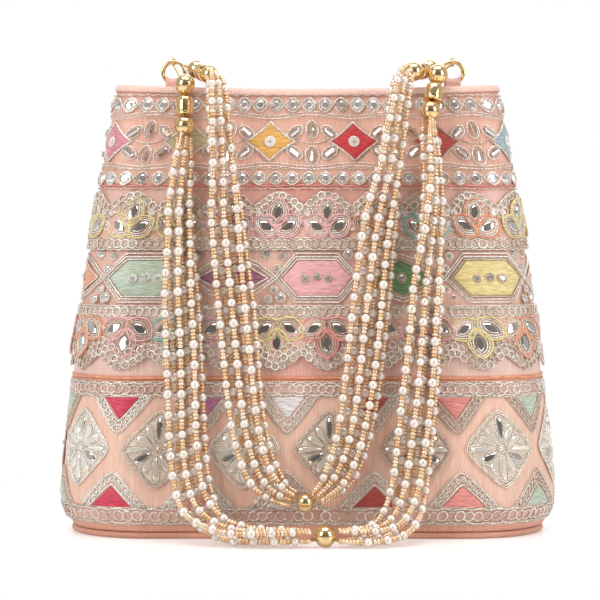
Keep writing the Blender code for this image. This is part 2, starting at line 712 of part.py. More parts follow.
def smooth_route(points):
    """A centripetal Catmull-Rom curve through the points, resampled to even steps."""
    ends = [2 * points[0] - points[1], *points, 2 * points[-1] - points[-2]]
    parts = []
    for before, start, end, after in zip(ends, ends[1:], ends[2:], ends[3:]):
        knots = np.cumsum([0.0] + [np.linalg.norm(b - a) ** 0.5
                                   for a, b in ((before, start), (start, end), (end, after))])
        t = np.linspace(knots[1], knots[2], 30, endpoint=False)[:, None]

        def mix(low, high, first, second):
            return ((high - t) * first + (t - low) * second) / (high - low)

        a = [mix(knots[0], knots[1], before, start), mix(knots[1], knots[2], start, end),
             mix(knots[2], knots[3], end, after)]
        b = [mix(knots[0], knots[2], a[0], a[1]), mix(knots[1], knots[3], a[1], a[2])]
        parts.append(mix(knots[1], knots[2], b[0], b[1]))
    parts.append(np.array([points[-1]]))
    line = np.vstack(parts)
    along = np.concatenate(([0.0], np.cumsum(np.linalg.norm(np.diff(line, axis=0), axis=1))))
    wanted = np.linspace(0.0, along[-1], ROUTE_SAMPLES)
    return np.stack([np.interp(wanted, along, line[:, axis]) for axis in range(3)], axis=1)


def eased(share, places, values):
    """Values between places, with smooth starts and stops."""
    index = np.clip(np.searchsorted(places, share, side="right") - 1, 0, len(places) - 2)
    part = np.clip((share - places[index]) / (places[index + 1] - places[index]), 0.0, 1.0)
    part = part * part * (3.0 - 2.0 * part)
    return values[index] + (values[index + 1] - values[index]) * part


def strand_offsets():
    """Two staggered rows of three strands, as offsets across and outwards at a spread of one."""
    row = [-1.25, -0.25, 0.75]
    inner = [(share * STRAND_PITCH, -STRAND_ROW / 2) for share in row]
    outer = [(-share * STRAND_PITCH, STRAND_ROW / 2) for share in reversed(row)]
    return (inner + outer)[:STRANDS_PER_SIDE]


def strand_lines(route, lay, cap, gather):
    """The middle line and the radius along each strand of a half handle.

    All strands bend at the same places along the route, so that they stay side by side.
    """
    rise, off_x, off_y = np.array(route).T
    off = np.stack([off_x, off_y, np.zeros_like(rise)], axis=1) / 1000.0
    line = smooth_route(gather + rise[:, None] * (cap - gather) + off)
    share = np.linspace(0.0, 1.0, len(line))
    places, tilt, twist, spread = (np.array(column, dtype=float) for column in zip(*lay))
    tilt = np.radians(eased(share, places, tilt))
    twist = np.radians(eased(share, places, twist))
    spread = eased(share, places, spread)
    along = np.gradient(line, axis=0)
    along /= np.linalg.norm(along, axis=1)[:, None]
    outward = np.stack([np.zeros_like(tilt), -np.cos(tilt), np.sin(tilt)], axis=1)
    outward -= (outward * along).sum(axis=1)[:, None] * along
    outward /= np.linalg.norm(outward, axis=1)[:, None]
    across = np.cross(along, outward)
    radius = np.minimum(PEARL_DIAMETER, STRAND_PITCH * (spread - END_TRIM)) / 2
    made = []
    for sideways, out in strand_offsets():
        a = sideways * spread * np.cos(twist) - out * np.sin(twist)
        b = sideways * spread * np.sin(twist) + out * np.cos(twist)
        made.append((line + across * a[:, None] + outward * b[:, None], radius))
    length = np.linalg.norm(np.diff(line, axis=0), axis=1).sum()
    bends = np.linspace(0, len(line) - 1, int(round(length / STRAND_STEP)) + 1).round().astype(int)
    return [(nodes[bends], sizes[bends]) for nodes, sizes in made]


def strand(name, nodes, sizes, parent):
    """One bead strand as a plain tube at the pearls' diameter, thin where only small beads are."""
    curve = bpy.data.curves.new(name, "CURVE")
    curve.dimensions = "3D"
    curve.bevel_depth = PEARL_DIAMETER / 2
    curve.bevel_resolution = 2
    curve.use_fill_caps = True
    curve.materials.append(PEARL_BEADS)
    spline = curve.splines.new("POLY")
    spline.points.add(len(nodes) - 1)
    for point, node, size in zip(spline.points, nodes, sizes):
        point.co = (*(Vector(node) - parent.location), 1.0)
        point.radius = size / (PEARL_DIAMETER / 2)
    piece = bpy.data.objects.new(name, curve)
    bpy.context.scene.collection.objects.link(piece)
    piece.parent = parent
    return piece


for corner_name, route in ROUTES.items():
    handle = corner_name.split("_")[0]
    strands = strand_lines(route, LAYS[corner_name], np.array(CAPS[corner_name]), np.array(GATHERS[handle][0]))
    for number, (nodes, sizes) in enumerate(strands, start=1):
        strand("strand_%s_%d" % (corner_name, number), nodes, sizes, PIVOTS[handle])
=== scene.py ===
import math

import bpy
import numpy as np
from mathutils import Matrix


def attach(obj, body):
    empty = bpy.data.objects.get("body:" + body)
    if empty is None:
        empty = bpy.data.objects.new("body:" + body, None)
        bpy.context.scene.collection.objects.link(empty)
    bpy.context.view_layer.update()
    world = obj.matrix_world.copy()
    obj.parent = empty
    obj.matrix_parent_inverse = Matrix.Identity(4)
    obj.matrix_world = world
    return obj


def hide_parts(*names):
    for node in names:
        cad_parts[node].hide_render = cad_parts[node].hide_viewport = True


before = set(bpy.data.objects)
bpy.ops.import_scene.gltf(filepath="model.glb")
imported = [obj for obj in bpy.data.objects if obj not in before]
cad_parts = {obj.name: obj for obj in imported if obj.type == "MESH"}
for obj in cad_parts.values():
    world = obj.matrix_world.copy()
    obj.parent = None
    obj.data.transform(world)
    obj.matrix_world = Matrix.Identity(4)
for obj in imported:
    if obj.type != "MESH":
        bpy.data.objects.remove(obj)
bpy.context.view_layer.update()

# Camera, table and studio light
# The bag stands on a white glossy table, seen from the front a little below its top.
# Large soft lamps light it from both sides and from above.
camera = bpy.data.objects.new("camera", bpy.data.cameras.new("camera"))
camera.data.sensor_width = 36.0
camera.data.lens = 166.7
camera.location = (0.0, -1.25, 0.150)
look = np.array([-0.0034, 1.25, -0.047])
camera.rotation_euler = (
    math.pi / 2 + math.atan2(look[2], math.hypot(look[0], look[1])), 0.0, -math.atan2(look[0], look[1]))
bpy.context.scene.collection.objects.link(camera)
bpy.context.scene.camera = camera
bpy.context.scene.view_settings.view_transform = "Standard"


def soft_lamp(name, place, aim, size, watts):
    """A square area lamp at a place, turned so that its light goes to the aim."""
    lamp = bpy.data.lights.new(name, "AREA")
    lamp.shape = "RECTANGLE"
    lamp.size, lamp.size_y = size
    lamp.energy = watts
    holder = bpy.data.objects.new(name, lamp)
    away = np.array(place) - np.array(aim)
    holder.location = place
    holder.rotation_euler = (math.acos(away[2] / np.linalg.norm(away)), 0.0,
                             math.atan2(away[1], away[0]) + math.pi / 2)
    bpy.context.scene.collection.objects.link(holder)


soft_lamp("left_lamp", (-0.75, -0.75, 0.62), (0.0, 0.0, 0.09), (0.5, 0.7), 5.2)
soft_lamp("right_lamp", (0.85, -0.60, 0.48), (0.0, 0.0, 0.09), (0.4, 0.7), 4.0)
soft_lamp("top_lamp", (0.0, -0.10, 1.00), (0.0, 0.0, 0.05), (0.8, 0.5), 4.6)
soft_lamp("back_lamp", (0.1, 0.95, 0.60), (0.0, 0.0, 0.09), (0.8, 0.5), 3.6)


def set_inputs(node, values):
    """Gives a node's inputs their values, by name or by number."""
    for socket, value in values.items():
        node.inputs[socket].default_value = value
    return node


def added(tree, kind, operation=None, values=None):
    """A new node of a kind in a tree, with its operation and its inputs' values."""
    node = tree.nodes.new("ShaderNode" + kind)
    if operation:
        node.operation = operation
    return set_inputs(node, values or {})


def linked(tree, *wires):
    """Links nodes of a tree: each wire is (from node, its output, to node, its input)."""
    for start, output, end, entry in wires:
        tree.links.new(start.outputs[output], end.inputs[entry])


def ramped(tree, stops):
    """A colour ramp with stops of (position, linear red, green and blue)."""
    ramp = added(tree, "ValToRGB")
    elements = ramp.color_ramp.elements
    while len(elements) < len(stops):
        elements.new(0.5)
    for element, (position, colour) in zip(elements, stops):
        element.position = position
        element.color = (*colour, 1)
    return ramp


def studio_world():
    """White to the camera. To all other rays it is pale grey with a darker wall behind the camera."""
    world = bpy.data.worlds.new("studio")
    world.use_nodes = True
    tree = world.node_tree
    tree.nodes.clear()
    way, parts = added(tree, "TexCoord"), added(tree, "SeparateXYZ")
    span = added(tree, "MapRange", values={"From Min": -1.0})
    shades = ramped(tree, [(0.0, (0.16, 0.155, 0.15)), (0.30, (0.50, 0.50, 0.51)), (1.0, (0.75, 0.75, 0.75))])
    room = added(tree, "Background", values={"Strength": 0.9})
    white = added(tree, "Background", values={"Color": (1, 1, 1, 1)})
    kind, both, out = added(tree, "LightPath"), added(tree, "MixShader"), added(tree, "OutputWorld")
    linked(tree, (way, "Generated", parts, 0), (parts, "Y", span, "Value"), (span, "Result", shades, "Fac"),
           (shades, "Color", room, "Color"), (kind, "Is Camera Ray", both, 0), (room, 0, both, 1),
           (white, 0, both, 2), (both, 0, out, "Surface"))
    return world


bpy.context.scene.world = studio_world()


def new_finish(name, values):
    """A material with its node tree and its Principled shader, whose inputs take the values."""
    finish = bpy.data.materials.new(name)
    finish.use_nodes = True
    return finish, finish.node_tree, set_inputs(finish.node_tree.nodes["Principled BSDF"], values)


def table_top():
    """A glossy white table that goes over to plain white, to the camera only, away from the bag."""
    mesh = bpy.data.meshes.new("table_top")
    mesh.from_pydata([(-6, -6, 0), (6, -6, 0), (6, 6, 0), (-6, 6, 0)], [], [(0, 1, 2, 3)])
    top = bpy.data.objects.new("table_top", mesh)
    bpy.context.scene.collection.objects.link(top)
    finish, tree, shader = new_finish("white_table", {
        "Base Color": (0.90, 0.90, 0.90, 1), "Roughness": 0.16, "Specular IOR Level": 0.28})
    glow = added(tree, "Emission", values={"Color": (1, 1, 1, 1), "Strength": 0.32})
    plain = added(tree, "Emission", values={"Strength": 1.0})
    lit, place, kind = added(tree, "AddShader"), added(tree, "TexCoord"), added(tree, "LightPath")
    squash = added(tree, "VectorMath", "MULTIPLY", {1: (0.8, 1.0, 1.0)})
    away = added(tree, "VectorMath", "LENGTH")
    fade = added(tree, "MapRange", values={"From Min": 0.10, "From Max": 0.21})
    near, seen = added(tree, "MixShader"), added(tree, "MixShader")
    linked(tree, (shader, 0, lit, 0), (glow, 0, lit, 1), (place, "Object", squash, 0), (squash, 0, away, 0),
           (away, "Value", fade, "Value"), (fade, "Result", near, 0), (lit, 0, near, 1), (plain, 0, near, 2),
           (kind, "Is Camera Ray", seen, 0), (shader, 0, seen, 1), (near, 0, seen, 2),
           (seen, 0, tree.nodes["Material Output"], "Surface"))
    mesh.materials.append(finish)


table_top()

# Bead strands
# Each handle is twelve half strands, six from either cap to the gather ball at the bottom of the
# loop. A strand is a waxed thread with a pearl after every three gold seed beads.
routes = {
    "front_left": [
        (-54.4, -20.2, 176.1), (-54.8, -23.9, 168.5), (-55.6, -28.1, 158.0), (-56.2, -30.3, 146.0),
        (-55.8, -33.0, 126.0), (-55.2, -36.3, 104.0), (-54.2, -39.5, 82.5), (-53.2, -42.8, 61.0),
        (-52.3, -45.8, 43.5), (-50.8, -49.6, 28.0), (-46.8, -55.0, 15.5), (-39.0, -61.5, 8.2),
        (-28.5, -67.0, 5.4), (-16.0, -70.0, 5.0), (-6.0, -71.0, 5.0), (2.4, -71.0, 5.0)],
    "front_right": [
        (53.2, -24.1, 183.1), (53.4, -27.6, 176.0), (54.2, -29.9, 167.0), (55.0, -31.6, 152.0),
        (54.0, -34.2, 134.0), (52.6, -36.4, 115.0), (50.9, -39.3, 93.0), (49.5, -42.1, 73.0),
        (47.8, -44.6, 55.0), (46.0, -47.2, 39.0), (43.8, -51.0, 24.0), (40.3, -56.8, 12.5),
        (35.0, -62.6, 7.0), (28.0, -67.4, 5.2), (20.0, -70.2, 5.0), (12.6, -71.0, 5.0)],
    "rear_left": [
        (-41.8, -18.6, 202.9), (-40.5, -24.6, 200.2), (-39.6, -29.0, 194.5), (-39.0, -31.2, 187.0),
        (-38.4, -31.4, 178.0), (-37.4, -31.2, 163.5), (-36.2, -31.2, 148.0), (-34.0, -33.2, 126.0),
        (-31.8, -36.4, 104.5), (-29.7, -40.0, 82.5), (-27.5, -43.4, 61.0), (-24.6, -46.2, 44.0),
        (-19.8, -48.6, 30.0), (-13.0, -50.0, 22.0), (-5.7, -50.5, 18.2)],
    "rear_right": [
        (45.0, -18.5, 204.4), (42.6, -24.8, 202.2), (41.0, -29.2, 197.0), (39.8, -31.6, 189.5),
        (38.4, -31.8, 180.0), (36.2, -31.2, 165.0), (33.4, -32.2, 149.0), (30.6, -33.8, 131.0),
        (28.4, -36.4, 110.0), (26.2, -39.2, 90.0), (23.9, -42.4, 69.5), (21.3, -45.0, 52.5),
        (17.5, -47.4, 37.5), (12.0, -49.2, 26.5), (3.6, -50.5, 18.4)],
}
lays = {
    "front_left": [
        (0.00, 0, 40, 0.55), (0.08, 0, 38, 0.98), (0.17, 0, 27, 1.10), (0.35, 0, 5, 1.22),
        (0.60, 0, -6, 1.28), (0.70, 8, 0, 1.25), (0.82, 75, 0, 1.15), (0.92, 88, 0, 1.10),
        (1.00, 88, 0, 0.55)],
    "front_right": [
        (0.00, 0, 66, 0.55), (0.09, 0, 64, 0.98), (0.20, 0, 52, 1.12), (0.38, 0, 22, 1.30),
        (0.62, 0, 8, 1.30), (0.72, 10, 3, 1.26), (0.84, 75, 0, 1.22), (0.92, 88, 0, 1.12),
        (1.00, 88, 0, 0.55)],
    "rear_left": [
        (0.00, 46, 42, 0.55), (0.10, 26, 46, 0.98), (0.20, 0, 38, 1.10), (0.37, 0, 8, 1.20),
        (0.60, 0, -6, 1.24), (0.80, 0, 2, 1.20), (0.91, 0, 0, 1.10), (1.00, 0, 0, 0.55)],
    "rear_right": [
        (0.00, 46, 44, 0.55), (0.10, 26, 50, 0.98), (0.21, 0, 40, 1.10), (0.38, 0, 8, 1.25),
        (0.70, 0, 0, 1.32), (0.84, 0, 0, 1.18), (0.91, 0, 0, 1.10), (1.00, 0, 0, 0.55)],
}
pearl_width = 4.4
strand_pitch = 4.75


def smooth_route(points, samples):
    """A centripetal Catmull-Rom curve through the points, resampled to even steps along it."""
    knots = np.vstack([2 * points[0] - points[1], points, 2 * points[-1] - points[-2]])
    line = []
    for before, start, end, after in zip(knots, knots[1:], knots[2:], knots[3:]):
        t = np.cumsum([0.0] + [np.linalg.norm(b - a) ** 0.5
                               for a, b in ((before, start), (start, end), (end, after))])
        at = np.linspace(t[1], t[2], 30, endpoint=False)[:, None]
        first = ((t[1] - at) * before + (at - t[0]) * start) / (t[1] - t[0])
        second = ((t[2] - at) * start + (at - t[1]) * end) / (t[2] - t[1])
        third = ((t[3] - at) * end + (at - t[2]) * after) / (t[3] - t[2])
        low = ((t[2] - at) * first + (at - t[0]) * second) / (t[2] - t[0])
        high = ((t[3] - at) * second + (at - t[1]) * third) / (t[3] - t[1])
        line.append(((t[2] - at) * low + (at - t[1]) * high) / (t[2] - t[1]))
    return even_line(np.vstack(line + [points[-1:]]), samples)



def run_along(line):
    """The length run along a line at each of its points."""
    return np.concatenate([[0.0], np.cumsum(np.linalg.norm(np.diff(line, axis=0), axis=1))])


def points_along(line, along, distance):
    """Points at distances along a line, from the length run at each of its own points."""
    return np.stack([np.interp(distance, along, column) for column in line.T], axis=1)


def even_line(line, samples):
    """A line's points moved to even steps along it."""
    along = run_along(line)
    return points_along(line, along, np.linspace(0.0, along[-1], samples))



def eased(share, places, values):
    """Values between places with a smooth start and stop: the smoothstep of the share between them."""
    index = np.clip(np.searchsorted(places, share, side="right") - 1, 0, len(places) - 2)
    part = np.clip((share - places[index]) / (places[index + 1] - places[index]), 0.0, 1.0)
    return values[index] + (values[index + 1] - values[index]) * part * part * (3.0 - 2.0 * part)


def bundle(route, lay, samples=260):
    """The lines and sizes of the six strands of one half handle, in millimetres.

    Each strand is the route plus its place in two staggered rows of three, turned by the twist and
    widened by the spread, in the frame of the route's direction and the outward side.
    """
    line = smooth_route(np.array(route, dtype=float), samples)
    share = np.linspace(0.0, 1.0, samples)
    places, tilt, twist, spread = (np.array(column, dtype=float) for column in zip(*lay))
    tilt = np.radians(eased(share, places, tilt))
    twist = np.radians(eased(share, places, twist))
    spread = eased(share, places, spread)
    along = np.gradient(line, axis=0)
    along /= np.linalg.norm(along, axis=1)[:, None]
    outward = np.stack([0.0 * tilt, -np.cos(tilt), np.sin(tilt)], axis=1)
    outward -= (outward * along).sum(axis=1)[:, None] * along
    outward /= np.linalg.norm(outward, axis=1)[:, None]
    across = np.cross(along, outward)
    size = np.minimum(pearl_width, strand_pitch * (spread - 0.15)) / 2
    row = strand_pitch * math.sqrt(3.0) / 4
    lines = []
    for sideways, out in ((-1.25, -row), (-0.25, -row), (0.75, -row), (-0.75, row), (0.25, row), (1.25, row)):
        wide = sideways * strand_pitch * spread
        a = wide * np.cos(twist) - out * np.sin(twist)
        b = wide * np.sin(twist) + out * np.cos(twist)
        lines.append(line + across * a[:, None] + outward * b[:, None])
    return lines, size


def linear(tone):
    """A six-digit screen colour as linear red, green and blue."""
    parts = np.array([int(tone[i:i + 2], 16) for i in (0, 2, 4)]) / 255
    return tuple(np.where(parts < 0.04045, parts / 12.92, ((parts + 0.055) / 1.055) ** 2.4))

def attribute(tree, name):
    """A node that reads an attribute of the mesh."""
    node = added(tree, "Attribute")
    node.attribute_name = name
    return node


def tinted_finish(name, tones, roughness, metallic=0.0, coat=0.0, speckle_and_glint=0.0, sheen=0.0):
    """A finish whose colour runs through the tones with each piece's own tint, with fine speckle that is
    grain on the board and painted glints on the silver thread.
    """
    finish, tree, shader = new_finish(name, {
        "Roughness": roughness, "Metallic": metallic, "Coat Weight": coat, "Coat Roughness": 0.08,
        "Sheen Weight": sheen})
    tint = attribute(tree, "tint")
    ramp = ramped(tree, [(place / (len(tones) - 1), linear(tone)) for place, tone in enumerate(tones)])
    linked(tree, (tint, "Fac", ramp, "Fac"), (ramp, "Color", shader, "Base Color"))
    if speckle_and_glint:
        # Painted glints: fine noise darkens and brightens the colour in flecks. On the silver thread these
        # stand in for glints of light; on the board they are grain.
        place = added(tree, "TexCoord")
        noise = added(tree, "TexNoise", values={"Scale": 1600.0})
        bump = added(tree, "Bump", values={"Strength": speckle_and_glint, "Distance": 0.0002})
        shade = added(tree, "MapRange", values={
            "From Min": 0.35, "From Max": 0.65,
            "To Min": 1.0 - 0.45 * speckle_and_glint, "To Max": 1.0 + 0.35 * speckle_and_glint})
        glint = added(tree, "VectorMath", "SCALE")
        linked(tree, (place, "Object", noise, "Vector"), (noise, "Fac", bump, "Height"),
               (bump, "Normal", shader, "Normal"), (noise, "Fac", shade, "Value"), (ramp, "Color", glint, 0),
               (shade, "Result", glint, "Scale"), (glint, 0, shader, "Base Color"))
    return finish


pearl_finish = tinted_finish("pearl_lustre", ["efe2d2", "faf0e4", "f5e6de"], 0.22, metallic=0.40, coat=1.0,
                             sheen=0.25)
seed_finish = tinted_finish("gold_seed_glass", ["e6b888", "f3d0a6", "fbe6ce"], 0.17, metallic=0.75, coat=0.9)
thread_finish = tinted_finish("waxed_thread", ["c79a62", "c79a62"], 0.7)


def circle(spokes, start=0.0):
    """Points of a unit circle, anticlockwise."""
    angle = start + np.arange(spokes) * 2 * math.pi / spokes
    return np.stack([np.cos(angle), np.sin(angle)], axis=1)


def ring_faces(rings, spokes, closed=True, first=0):
    """Quads between rings of points, each ring joined to the next, and the last to the first if closed."""
    number = first + np.arange(rings * spokes).reshape(rings, spokes)
    around = np.roll(number, -1, axis=1)
    corners = [number, around, np.roll(around, -1, axis=0), np.roll(number, -1, axis=0)]
    return np.stack(corners, axis=2)[:None if closed else -1].reshape(-1, 4)


def poled(foot, body, head, spokes):
    """Rings of points closed by a pole at either end: points, quads and triangles."""
    points = np.vstack([foot, body, head])
    low = 1 + np.arange(spokes)
    high = low + len(body) - spokes
    triangles = np.vstack([np.stack([0 * low, np.roll(low, -1), low], axis=1),
                           np.stack([0 * low + len(points) - 1, high, np.roll(high, -1)], axis=1)])
    return points, ring_faces(len(body) // spokes, spokes, closed=False, first=1), triangles


def stacked(path, levels):
    """A closed form of one outline at several (scale, height) levels, with a pole at either end."""
    body = [np.column_stack([path * scale, np.full(len(path), height)]) for scale, height in levels[1:-1]]
    return poled([0, 0, levels[0][1]], np.vstack(body), [0, 0, levels[-1][1]], len(path))


def turned_form(profile, spokes):
    """A closed form of revolution about Z from a profile of (radius, height), poles at its ends."""
    return stacked(circle(spokes), profile)


def frames_along(tangents, spin):
    """Rotations that carry Z to each tangent, turned about it by the spin."""
    z = tangents / np.linalg.norm(tangents, axis=1)[:, None]
    helper = np.where(np.abs(z[:, 2:3]) < 0.9, [[0.0, 0.0, 1.0]], [[1.0, 0.0, 0.0]])
    x = np.cross(helper, z)
    x /= np.linalg.norm(x, axis=1)[:, None]
    y = np.cross(z, x)
    c, s = np.cos(spin)[:, None], np.sin(spin)[:, None]
    return np.stack([x * c + y * s, y * c - x * s, z], axis=2)


def copies(form, places, turns, sizes):
    """A form repeated at places, each turned and sized: points, quads and triangles of them all."""
    points, quads, triangles = form
    at = np.einsum("nij,npj->npi", turns, points[None] * sizes[:, None, :]) + places[:, None]
    step = (np.arange(len(places)) * len(points))[:, None, None]
    return at.reshape(-1, 3), (quads[None] + step).reshape(-1, 4), (triangles[None] + step).reshape(-1, 3)


def tube(line, radius, spokes):
    """A closed tube along a line: rings of points square to it, with a cap of triangles at each end."""
    turns = frames_along(np.gradient(line, axis=0), np.zeros(len(line)))
    ring = np.column_stack([circle(spokes) * radius, np.zeros(spokes)])
    body = np.einsum("nij,pj->npi", turns, ring) + line[:, None]
    return poled(line[0], body.reshape(-1, 3), line[-1], spokes)


def slots_of(part):
    """A part's finish numbers, one for each four-cornered and each three-cornered face."""
    four, three = part[3] if isinstance(part[3], tuple) else (part[3], part[3])
    return np.broadcast_to(four, len(part[1])), np.broadcast_to(three, len(part[2]))


def merged(parts):
    """Several parts as one: its points, quads, triangles, finish numbers and tints."""
    starts = np.cumsum([0] + [len(part[0]) for part in parts[:-1]])
    four, three = zip(*(slots_of(part) for part in parts))
    return (np.vstack([part[0] for part in parts]),
            np.vstack([part[1] + start for part, start in zip(parts, starts)]),
            np.vstack([part[2] + start for part, start in zip(parts, starts)]),
            (np.concatenate(four), np.concatenate(three)),
            np.concatenate([np.broadcast_to(part[4], len(part[0])) for part in parts]))


def make_piece(name, parts, finishes, body, replaced=()):
    """One object from parts of (points in millimetres, quads, triangles, finish number, tint)."""
    points, quads, triangles, slots, tints = merged(parts)
    corners = np.concatenate([quads.ravel(), triangles.ravel()])
    sizes = np.repeat([4, 3], [len(quads), len(triangles)])
    mesh = bpy.data.meshes.new(name)
    mesh.vertices.add(len(points))
    mesh.vertices.foreach_set("co", (points / 1000.0).ravel())
    mesh.loops.add(len(corners))
    mesh.loops.foreach_set("vertex_index", corners)
    mesh.polygons.add(len(sizes))
    mesh.polygons.foreach_set("loop_start", np.cumsum(sizes) - sizes)
    mesh.polygons.foreach_set("material_index", np.concatenate(slots))
    mesh.update(calc_edges=True)
    mesh.polygons.foreach_set("use_smooth", np.ones(len(sizes), dtype=bool))
    mesh.attributes.new("tint", "FLOAT", "POINT").data.foreach_set("value", tints)
    for finish in finishes:
        mesh.materials.append(finish)
    piece = bpy.data.objects.new(name, mesh)
    bpy.context.scene.collection.objects.link(piece)
    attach(piece, body)
    if replaced:
        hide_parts(*replaced)
    return piece


upright = np.linspace(-math.pi / 2, math.pi / 2, 9)
pearl_form = turned_form(np.stack([np.cos(upright), np.sin(upright)], axis=1) * pearl_width / 2, 12)
seed_form = turned_form(
    [(0, -0.70), (0.9, -0.76), (1.38, -0.50), (1.58, 0), (1.38, 0.50), (0.9, 0.76), (0, 0.70)], 9)
seed_pitch = 1.50
seeds_between = 3
bare_end = 2.6
chance = np.random.default_rng(7)
full_turn = 6.3

# The middle of each half handle's cap and gather ball
ends = {
    "front_left": ((-54.4, -19.3, 180.8), (7.5, -71.0, 4.95)),
    "front_right": ((54.1, -22.0, 187.3), (7.5, -71.0, 4.95)),
    "rear_left": ((-43.4, -14.5, 203.6), (-1.1, -50.6, 17.0)),
    "rear_right": ((46.9, -14.5, 204.9), (-1.1, -50.6, 17.0)),
}


def threaded(form, slot, line, along, distance, sizes):
    """Beads of a form on a line, each turned about it and tinted at random, and sized by the rule."""
    where = points_along(line, along, distance)
    way = points_along(line, along, distance + 0.5) - points_along(line, along, distance - 0.5)
    turns = frames_along(way, chance.uniform(0, full_turn, len(distance)))
    tint = np.repeat(chance.uniform(0, 1, len(distance)), len(form[0]))
    return (*copies(form, where, turns, sizes()), slot, tint)


for corner, route in routes.items():
    lines, size = bundle(route, lays[corner])
    handle = corner.split("_")[0] + "_handle"
    cap, gather = (np.array(place) for place in ends[corner])
    for number, line in enumerate(lines, start=1):
        along = run_along(line)
        length = along[-1]
        pitch = pearl_width + seeds_between * seed_pitch
        sway = 0.22 * np.sin(along[:, None] / chance.uniform(9, 16, 3) + chance.uniform(0, full_turn, 3))
        line = line + sway * np.sin(math.pi * along / length)[:, None]
        starts = chance.uniform(0, pitch) - pitch + pitch * np.arange(int(length / pitch) + 3)
        room = np.interp(starts, along, size)
        full = (room > 1.30) & (starts > bare_end) & (starts < length - bare_end)
        pearls = starts[full]
        between = starts[:, None] + pearl_width / 2 + seed_pitch * (np.arange(seeds_between) + 0.5)
        instead = starts[~full][:, None] + seed_pitch * (np.arange(seeds_between) - 1.0)
        seeds = np.concatenate([between.ravel(), instead.ravel()])
        seeds = seeds[(seeds > 0.5) & (seeds < length - 0.5)]
        slim = np.clip((np.interp(seeds, along, size) + 0.15) / 1.7, 0.70, 1.0)

        def pearl_sizes():
            """One size for each pearl, smaller where the bundle closes up."""
            swell = chance.uniform(0.86, 1.02, len(pearls)) * np.clip(room[full] / 2.2, 0.84, 1.0)
            return np.repeat(swell[:, None], 3, axis=1)

        def seed_sizes():
            """Seeds of full height, slimmer where the bundle closes up."""
            wide = slim * chance.uniform(0.88, 1.0, len(seeds))
            return np.stack([wide, wide, np.ones(len(seeds))], axis=1)

        thread = np.vstack([cap + 0.8 * (line[0] - cap), line, gather + 0.8 * (line[-1] - gather)])
        parts = [threaded(pearl_form, 0, line, along, pearls, pearl_sizes),
                 threaded(seed_form, 1, line, along, seeds, seed_sizes),
                 (*tube(even_line(thread, 90), 0.30, 5), 2, 0.5)]
        strand = make_piece("bead_strand_%s_%d" % (corner, number), parts,
                            [pearl_finish, seed_finish, thread_finish], handle,
                            ["strand_%s_%d" % (corner, number)])

# Handle ends: rings, links, balls, barrels, caps and gather balls
# Gold-plated brass fittings. Each handle hangs by a link from the top of two rings, then a ball, a
# turned barrel and a second ball, the cap that hides the knots. A bored ball gathers the strands.
gold_finish, gold_tree, gold_shader = new_finish("polished_gold_plate", {
    "Base Color": (*linear("efd09a"), 1), "Metallic": 1.0})
gold_place = added(gold_tree, "TexCoord")
gold_wear = added(gold_tree, "TexNoise", values={"Scale": 240.0, "Detail": 4.0})
gold_range = added(gold_tree, "MapRange", values={"To Min": 0.06, "To Max": 0.17})
linked(gold_tree, (gold_place, "Object", gold_wear, "Vector"), (gold_wear, "Fac", gold_range, "Value"),
       (gold_range, "Result", gold_shader, "Roughness"))


def stood(form, centre, axis):
    """A form moved to a centre, with its own Z turned to the axis, as a part."""
    turn = frames_along(np.array([axis], dtype=float), np.zeros(1))[0]
    return form[0] @ turn.T + np.array(centre), form[1], form[2], 0, 0.5


none3 = np.zeros((0, 3), int)


def wire_ring(radius, wire, steps, spokes):
    """A closed ring of round wire about Z."""
    roll = circle(spokes) * wire
    reach = circle(steps)[:, None] * (radius + roll[:, :1])
    points = np.dstack([reach, np.broadcast_to(roll[:, 1], (steps, spokes))]).reshape(-1, 3)
    return points, ring_faces(steps, spokes)[:, [0, 3, 2, 1]], none3


def ball_form(radius, bore, spokes):
    """A ball with a small rolled rim at both ends of its bore."""
    angle = np.linspace(-math.pi / 2, math.pi / 2, 25)
    kept = angle[np.abs(angle) < math.pi / 2 - math.asin(bore / radius)]
    body = [(radius * math.cos(a), radius * math.sin(a)) for a in kept]
    low, high = body[0][1], body[-1][1]
    return turned_form([
        (0, low + 0.3), (bore * 0.7, low + 0.15), (bore * 0.86, low - 0.12), *body,
        (bore * 0.86, high + 0.12), (bore * 0.7, high - 0.15), (0, high - 0.3)], spokes)


